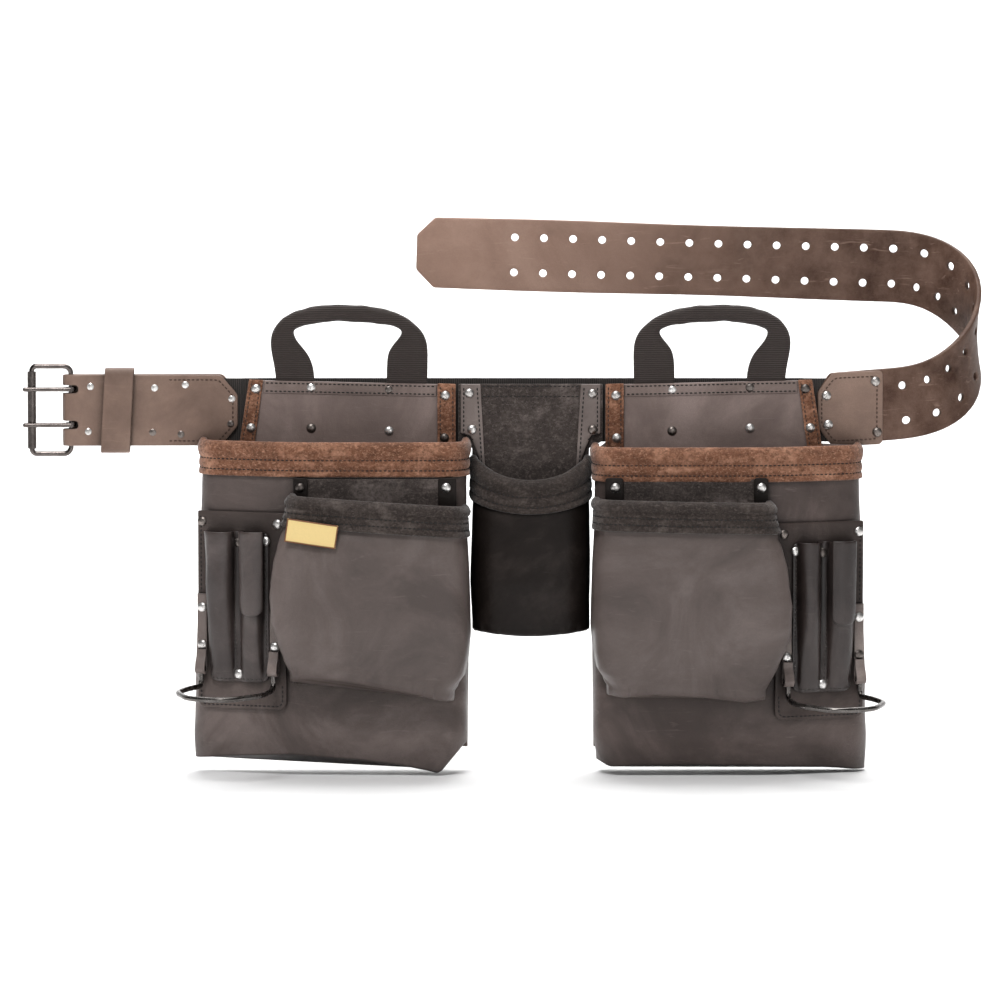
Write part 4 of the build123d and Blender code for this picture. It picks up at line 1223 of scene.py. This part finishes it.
def binding(name, pouch, material, side, node, style, drop_at=None, seed=0.0):
    """Suede folded over a pouch's mouth, and its two rows of stitches."""
    def row_at(depth):
        depths = np.full((1, pouch.columns), depth) if drop_at is None else drop_at(depth)
        points = pouch.rows(depths)
        return points, pouch.outward(points)

    rows = []
    profile, stitch_rows = BINDINGS[style]
    for offset, depth in profile + FOLDED_INSIDE:
        points, normals = row_at(depth)
        puff = wobble(points, 26, 0.35, seed) + wobble(points, 7, 0.25, seed)
        rows.append((points + normals * (offset + puff * (offset > 1.0))[..., None])[0])
    sections = np.stack(rows, axis=1)
    verts, faces = tube_geometry(sections)
    new_piece(name, mirrored(verts, side), faces, material, replaces=(node,))
    lines = []
    for depth in stitch_rows:
        points, normals = row_at(depth)
        lines.append(((points + normals * STITCH_LIFT)[0], normals[0]))
    stitches(name + "_stitches", lines, "dark_thread", side)


SHOULDER = 211.0
MAIN_FRONT = -62.0


def main_corners(inner, outer, front):
    corner = front + (outer - 9 - SHOULDER) * math.tan(PATCH_TURN)
    return [(inner, POUCH_BACK), (inner, front + 14), (inner + 12, front), (SHOULDER, front),
            (outer - 9, corner), (outer, corner + 12), (outer, POUCH_BACK)]


MAIN_EDGE = {
    "left": [(50, -285), (56, -289), (64, -303), (71, -317), (80, -314.5), (106.6, -309.5), (147, -304.2),
             (208, -299.4), (268.6, -303.3), (285, -305), (292, -307), (297, -298)],
    "right": [(50, -296), (56, -306), (62, -310.5), (90, -309.5), (115, -309), (190, -309.5), (240, -311.5),
              (272, -314), (289, -316.5), (296, -308), (299, -303)],
}


def make_main_pouch(side):
    top = high(side + "_main_pouch")[2]
    levels = [(top, 56.0, 288.5, MAIN_FRONT), (-120, 55.5, 290.5, MAIN_FRONT), (-205, 55, 293.5, MAIN_FRONT),
              (-262, 55, 296, MAIN_FRONT), (-284, 55, 297, MAIN_FRONT + 1), (-303, 58, 296.5, MAIN_FRONT + 6),
              (-318, 60, 296, MAIN_FRONT + 9)]
    columns = 120
    pouch = Pouch(levels, main_corners, [0, 13, 10, 26, 9, 9, 0], columns)
    base = pouch.rows(np.zeros((1, columns)))[0]
    edge = np.interp(base[:, 0], [u for u, z in MAIN_EDGE[side]], [z for u, z in MAIN_EDGE[side]])
    edge = np.convolve(np.pad(edge, 1, "edge"), np.ones(3) / 3, "valid")
    radius = 3.0
    share = np.linspace(0, 1, 52)[:, None]
    rows = pouch.rows((top - edge - radius)[None, :] * share)
    normals = pouch.outward(rows)
    lower = np.clip((share - 0.72) / 0.28, 0, 1)
    sag = wobble(rows, 95, 0.9, 5.0 + (side == "left")) * (0.35 + lower) + wobble(rows, 30, 0.8, 9.0) * lower
    rows = rows + normals * (sag - 0.5)[..., None]
    verts, faces = shell_geometry(turned_under(rows, radius, POUCH_BACK), WALL)
    new_piece(side + "_main_leather", mirrored(verts, side), faces, "bag_leather",
              replaces=(side + "_main_pouch",))
    binding(side + "_main_suede", pouch, "rust_suede", side, side + "_main_binding", "main", seed=2.0)
    return pouch


FRONT_BACK = low("right_front_lining")[1] - 0.1
FRONT_EDGE = {
    "left": [(52, -1), (74, 0.5), (90, 3.5), (107, 6.5), (137, 10.5), (160, 13), (184, 13.5), (196, 11.5),
             (206, 8.5), (226, 7)],
    "right": [(52, 0), (60, -1), (72, -1.8), (105, 2), (150, 0), (190, -4), (205, -2), (226, 0)],
}


def front_corners(inner, outer, front, tuck):
    seam, middle = outer - tuck, (inner + outer) / 2
    return [(inner, FRONT_BACK), (inner, front + 14), (inner + 10, front + 2), (middle, front - 3),
            (outer - 10, front + 2), (outer, front + 10), (seam, FRONT_BACK - 9.5), (seam, FRONT_BACK)]


def make_front_pouch(side):
    slope = {"left": 0.066, "right": -0.02}[side]
    levels = [(-74.5, 56.5, 211.0, -92, 2), (-95, 55.5, 217.0, -95.5, 6), (-130, 53.6, 226.5, -99.5, 12),
              (-163, 52.6, 231.5, -103, 17), (-185, 52.2, 230.2, -104, 14.5), (-205, 54, 223.5, -102, 9.5),
              (-222, 57.5, 215.5, -99, 4), (-240, 69, 206, -90, 2), (-250, 73, 203, -84, 2)]
    columns = 104
    pouch = Pouch(levels, front_corners, [0, 14, 12, 60, 12, 10, 5, 0], columns, slope, 135.0)
    base = pouch.rows(np.zeros((1, columns)))[0]
    table = FRONT_EDGE[side]
    edge = -245 + np.interp(base[:, 0], [u for u, z in table], [z for u, z in table])
    radius = 9.0
    share = np.linspace(0, 1, 44)[:, None]
    rows = pouch.rows((levels[0][0] - edge - radius)[None, :] * share)
    normals = pouch.outward(rows)
    free = np.clip(share / 0.25, 0, 1)
    from_start = np.arange(columns)
    ends = np.clip(np.minimum(from_start, columns - 1 - from_start) / 8, 0, 1)[None, :]
    seed = 12.0 if side == "left" else 17.0
    sag = (wobble(rows, 70, 2.2, seed) + wobble(rows, 26, 0.7, seed)) * free - 0.7
    sag += -1.6 * np.exp(-((share - 0.175) / 0.02) ** 2)
    rows = rows + normals * (sag * ends)[..., None]
    verts, faces = shell_geometry(turned_under(rows, radius, FRONT_BACK), WALL)
    new_piece(side + "_front_leather", mirrored(verts, side), faces, "front_leather",
              replaces=(side + "_front_pouch",))
    binding(side + "_front_suede", pouch, "black_suede", side, side + "_front_binding", "front", seed=4.0)
    lo, hi = low("right_front_lining"), high("right_front_lining")
    lining = [(lo[0], lo[2]), (hi[0], lo[2]), (hi[0], hi[2] + 4), (lo[0], hi[2] + 4)]
    flat_piece(side + "_rough_lining", lining, side + "_front_lining", "rough_panel", "black_suede", side)
    surface = facing(FRONT_BACK - 1.0)
    for name, a, b in (("inner", 65.0, 81.0), ("outer", 195.0, 207.6)):
        ear = round_corners([(a, -92.0), (b, -92.0), (b, -54.0), (a, -54.0)], [1, 1, 3, 3], True)
        sheet(side + "_" + name + "_ear", ear, surface, 2.0, "dark_leather", "bag_leather", side,
              replaces=(side + "_front_ears",), grid=4)


# ---- Tool patch, sleeve, flap, tabs and hammer loop ----

PATCH_X = 255.0
PATCH_BACK = MAIN_FRONT + (PATCH_X - SHOULDER) * math.tan(PATCH_TURN) - 0.35
PATCH_FRONT = -2.6
SLEEVE_HALF = 29.0
SLEEVE_TOP = -102.0
SLEEVE_COLUMNS = 141


def on_patch(points, side, place=True):
    """Points on the tool patch, or directions if place is off, turned to its slant on the +X bag."""
    points = np.asarray(points, float)
    c, s = math.cos(PATCH_TURN), math.sin(PATCH_TURN)
    x = points[..., 0] * c - points[..., 1] * s
    y = points[..., 0] * s + points[..., 1] * c
    z = points[..., 2]
    if place:
        drop = 9.0 if side == "right" else 0.0
        x, y, z = x + PATCH_X, y + PATCH_BACK, z - drop
    return np.stack([x, y, z], axis=-1)


def patch_surface(local, side):
    def surface(s, t):
        middle, normals = local(s, t)
        return on_patch(middle, side), on_patch(normals, side, place=False)
    return surface


def sleeve_curve(bulge, tuck):
    """Level cross-section of the sleeve's flange and two tubes, as (a, b) points, flange first."""
    points = [(-SLEEVE_HALF, PATCH_FRONT - 1.1), (-SLEEVE_HALF + 5.5, PATCH_FRONT - 1.3)]
    for inner, outer, share in ((-23.6 + 0.3 * tuck, -4.0, 0.92), (4.2, 28.6 - tuck, 1.0)):
        for angle in np.linspace(math.pi, 0, 25):
            swell = max(0.0, math.sin(angle)) ** 0.7
            middle, half = (inner + outer) / 2, (outer - inner) / 2
            points.append((middle + half * math.cos(angle), PATCH_FRONT - 1.2 - share * bulge * swell))
    points.append((SLEEVE_HALF - tuck, PATCH_FRONT - 1.1))
    return resample(np.array(points), SLEEVE_COLUMNS)


def sleeve_bulge(z):
    """How far the tubes stand off the patch, and how far the outer tube tucks in, at a height."""
    return (np.interp(z, [-235, -228, -205, -160, SLEEVE_TOP], [3.0, 5.5, 9.0, 12.5, 14.2]),
            np.interp(z, [-235, -200, -150, SLEEVE_TOP], [4.8, 3.0, 0.8, 0.0]))


def make_patch(side):
    patch = round_corners([(-43.5, -259.0), (38.0, -259.0), (38.0, -85.0), (-43.5, -85.0)],
                          [9, 9, 2, 2], True)
    surface = patch_surface(facing(-1.25), side)
    sheet(side + "_patch", patch, surface, 2.5, "patch_leather", "bag_leather", side,
          replaces=(side + "_tool_patch",), grid=6)
    lines = [line_on(surface, 2.5, (-40.0, -237.0), (-40.0, -256), (35.0, -256), (35.0, -89), corner=6)]
    stitches(side + "_patch_stitches", lines, "dark_thread", side)
    heights = np.linspace(-235, SLEEVE_TOP, 44)
    curves = np.array([sleeve_curve(*sleeve_bulge(z)) for z in heights])
    last_row, last_column = len(heights) - 1, SLEEVE_COLUMNS - 1

    def tubes(s, t):
        row = np.interp(t, heights, np.arange(len(heights)))
        column = np.clip((s / SLEEVE_HALF + 1) / 2, 0, 1) * last_column
        r0 = np.clip(row.astype(int), 0, last_row - 1)
        c0 = np.clip(column.astype(int), 0, last_column - 1)
        fr, fc = (row - r0)[:, None], (column - c0)[:, None]
        ab = (curves[r0, c0] * (1 - fr) * (1 - fc) + curves[r0 + 1, c0] * fr * (1 - fc)
              + curves[r0, c0 + 1] * (1 - fr) * fc + curves[r0 + 1, c0 + 1] * fr * fc)
        slope = curves[r0, c0 + 1] - curves[r0, c0]
        normals = np.stack([slope[:, 1], -slope[:, 0], np.zeros(len(s))], axis=1)
        middle = np.stack([ab[:, 0], ab[:, 1], t], axis=1)
        crease = wobble(middle * (1, 1, 0.3), 9, 1.3, 21.0 if side == "left" else 24.0)
        away = np.clip((PATCH_FRONT - ab[:, 1] - 3) / 5, 0, 1)
        return middle + unit(normals) * (crease * away)[:, None], unit(normals)

    sleeve = round_corners([(-28.6, -234.5), (28.6, -234.5), (28.6, SLEEVE_TOP), (-28.6, SLEEVE_TOP)],
                           [9, 9, 1.5, 6], True)
    surface = patch_surface(tubes, side)
    sheet(side + "_sleeve", sleeve, surface, 2.1, "sleeve_leather", "dark_leather", side,
          replaces=(side + "_tool_sleeve",), grid=2.6)
    seam = sum(1 for a in curves[0][:, 0] if a < 0) / last_column * 2 * SLEEVE_HALF - SLEEVE_HALF
    lines = [line_on(surface, 2.1, (-26.6, -116), (-26.6, -232), (26.6, -232), corner=6),
             line_on(surface, 2.1, (seam, -117), (seam, -224))]
    stitches(side + "_sleeve_stitches", lines, "grey_thread", side)
    centre = 15.6 if side == "right" else -15.6

    def over(s, t):
        bulge = sleeve_bulge(t)[0]
        b = PATCH_FRONT - 2.3 - bulge - 1.0 + 0.035 * (s - centre) ** 2
        slope = 0.07 * (s - centre)
        normals = unit(np.stack([slope, -np.ones(len(s)), np.zeros(len(s))], axis=1))
        return np.stack([s, b, t], axis=1), normals

    flap = round_corners([(centre - 10.6, -175), (centre + 10.6, -175), (centre + 11, SLEEVE_TOP + 1),
                          (centre - 11, SLEEVE_TOP + 1)], [9, 9, 1, 1], True)
    sheet(side + "_flap", flap, patch_surface(over, side), 1.9, "sleeve_leather", "dark_leather", side,
          replaces=(side + "_pencil_flap",), grid=3)
    pin_b, pin_z = PATCH_FRONT - 5.6, -224.0
    fold = [(PATCH_FRONT - 1.25, -158.0), (PATCH_FRONT - 1.25, -216.0), (PATCH_FRONT - 1.7, -221.0)]
    fold += [(pin_b + 3.7 * math.cos(a), pin_z + 3.7 * math.sin(a)) for a in np.linspace(0, -math.pi, 12)]
    fold += [(PATCH_FRONT - 7.4, -218.0), (PATCH_FRONT - 4.6, -213.0), (PATCH_FRONT - 3.9, -207.0)]
    fold = resample(np.array(fold), 70)
    tabs = []
    for a in (-33.4, 33.4):
        path = np.stack([np.full(70, a), fold[:, 0], fold[:, 1]], axis=1)
        verts, faces = ribbon(path, (1, 0, 0), 9.0, 2.3)
        tabs.append((on_patch(verts, side), faces))
    verts, faces = joined(*tabs)
    new_piece(side + "_tabs", mirrored(verts, side), faces, "strip_leather",
              replaces=(side + "_hammer_tabs",))
    flange = on_patch([[-25.4, PATCH_FRONT - 2.6, -110.0]], side)
    rivet_heads(side + "_pouch_rivets", more=mirrored(flange, side))
    finish_cad(side + "_hammer_loop", "bright_steel")


# ---- Centre pocket and label ----

DIP_RADIUS = 78.0
DIP_CENTRE = 17.0


def centre_corners(half, front):
    return [(-half, POUCH_BACK), (-half, front + 12), (-half + 14, front + 2), (0, front - 3),
            (half - 14, front + 2), (half, front + 12), (half, POUCH_BACK)]


def make_centre():
    panel = [(-63.5, 23.5), (63.5, 23.5), (63.5, -27), (51.5, -33), (50.0, -195), (-50.0, -195),
             (-51.5, -33), (-63.5, -27)]
    flat_piece("centre_panel", panel, "centre_back_panel", "rough_panel", "black_suede", "right",
               lines=[((-43, 21.4), (43, 21.4)), ((-43, 12.5), (43, 12.5))], thread="dark_thread")
    strip = [(61.5, 23.5), (44.0, 23.5), (39.5, -60.0), (44.5, -60.0), (45.2, -42.0), (53.0, -22.0),
             (61.5, -20.0)]
    for side in SIDES:
        flat_piece("centre_" + side + "_leather", strip, "centre_" + side + "_strip", "strip_leather",
                   "dark_leather", side, grid=4, thread="dark_thread",
                   lines=[((47, 21), (42.2, -58)), ((58.8, 21), (58.8, -20), (49.8, -26))])
    rivet_heads("centre_rivets")
    bottom = low("centre_pocket")[2]
    levels = [(-44, 51.0, -34), (-90, 52.4, -44), (-150, 52.8, -46), (-187, 52.2, -40), (-196, 51, -33),
              (-206, 50, -28)]
    top, columns = levels[0][0], 84
    pouch = Pouch(levels, centre_corners, [0, 12, 14, 40, 14, 12, 0], columns)
    x = pouch.rows(np.zeros((1, columns)))[0][:, 0]

    def drop_at(depth):
        """Depths below the levels' top of points this far from the dipped mouth."""
        reach = np.sqrt(np.maximum((DIP_RADIUS + depth) ** 2 - x ** 2, 30.0 ** 2))
        return (top - (DIP_CENTRE - reach))[None, :]

    mouth = drop_at(0.0)[0]
    edge = bottom - 1.5 + 5.0 * (np.abs(x) / 48) ** 2
    radius = 5.0
    share = np.linspace(0, 1, 40)[:, None]
    rows = pouch.rows(mouth + (top - edge - radius - mouth)[None, :] * share)
    sag = wobble(rows, 60, 1.5, 31.0) - 0.4
    rows = rows + pouch.outward(rows) * sag[..., None]
    verts, faces = shell_geometry(turned_under(rows, radius, POUCH_BACK), WALL)
    new_piece("centre_leather", verts, faces, "dark_leather", replaces=("centre_pocket",))
    binding("centre_suede", pouch, "black_suede", "right", "centre_binding", "centre", drop_at, 6.0)


def make_label():
    lo, hi = low("label_tag"), high("label_tag")
    centre = (lo + hi) / 2
    tilt, turn = math.radians(8.0), math.radians(-4.0)
    e1 = np.array([math.cos(turn) * math.cos(tilt), math.sin(turn), -math.cos(turn) * math.sin(tilt)])
    e2 = np.array([math.sin(tilt), 0.0, math.cos(tilt)])
    e3 = unit(np.cross(e1, e2))

    def tag(s, t):
        bow = 0.8 * np.cos(s / 22.5 * math.pi / 2) + 0.2 * np.sin(s / 5)
        middle = centre + s[:, None] * e1 + t[:, None] * e2 + bow[:, None] * e3
        return middle, np.tile(e3, (len(s), 1))

    outline = round_corners([(-22.4, -10.2), (22.4, -10.2), (22.4, 10.2), (-22.4, 10.2)], 0.6, True, 3)
    sheet("label", outline, tag, 0.9, "label", "label", replaces=("label_tag",), grid=2.5, rounding=0.4)
    loop = resample(np.array([(-21.9, -9.7), (21.9, -9.7), (21.9, 9.7), (-21.9, 9.7), (-21.9, -9.7)]), 120)
    middle, normals = tag(loop[:, 0], loop[:, 1])
    verts, faces = wire(middle + normals * 0.45, 0.6, 6)
    new_piece("label_border", verts, faces, "label_edge")


make_camera()
make_stage()
make_belt()
make_buckle_end()
make_keeper()
make_tongue()
for bag in SIDES:
    make_yoke(bag)
    make_handle(bag)
    make_main_pouch(bag)
    make_front_pouch(bag)
    make_patch(bag)
make_centre()
make_label()
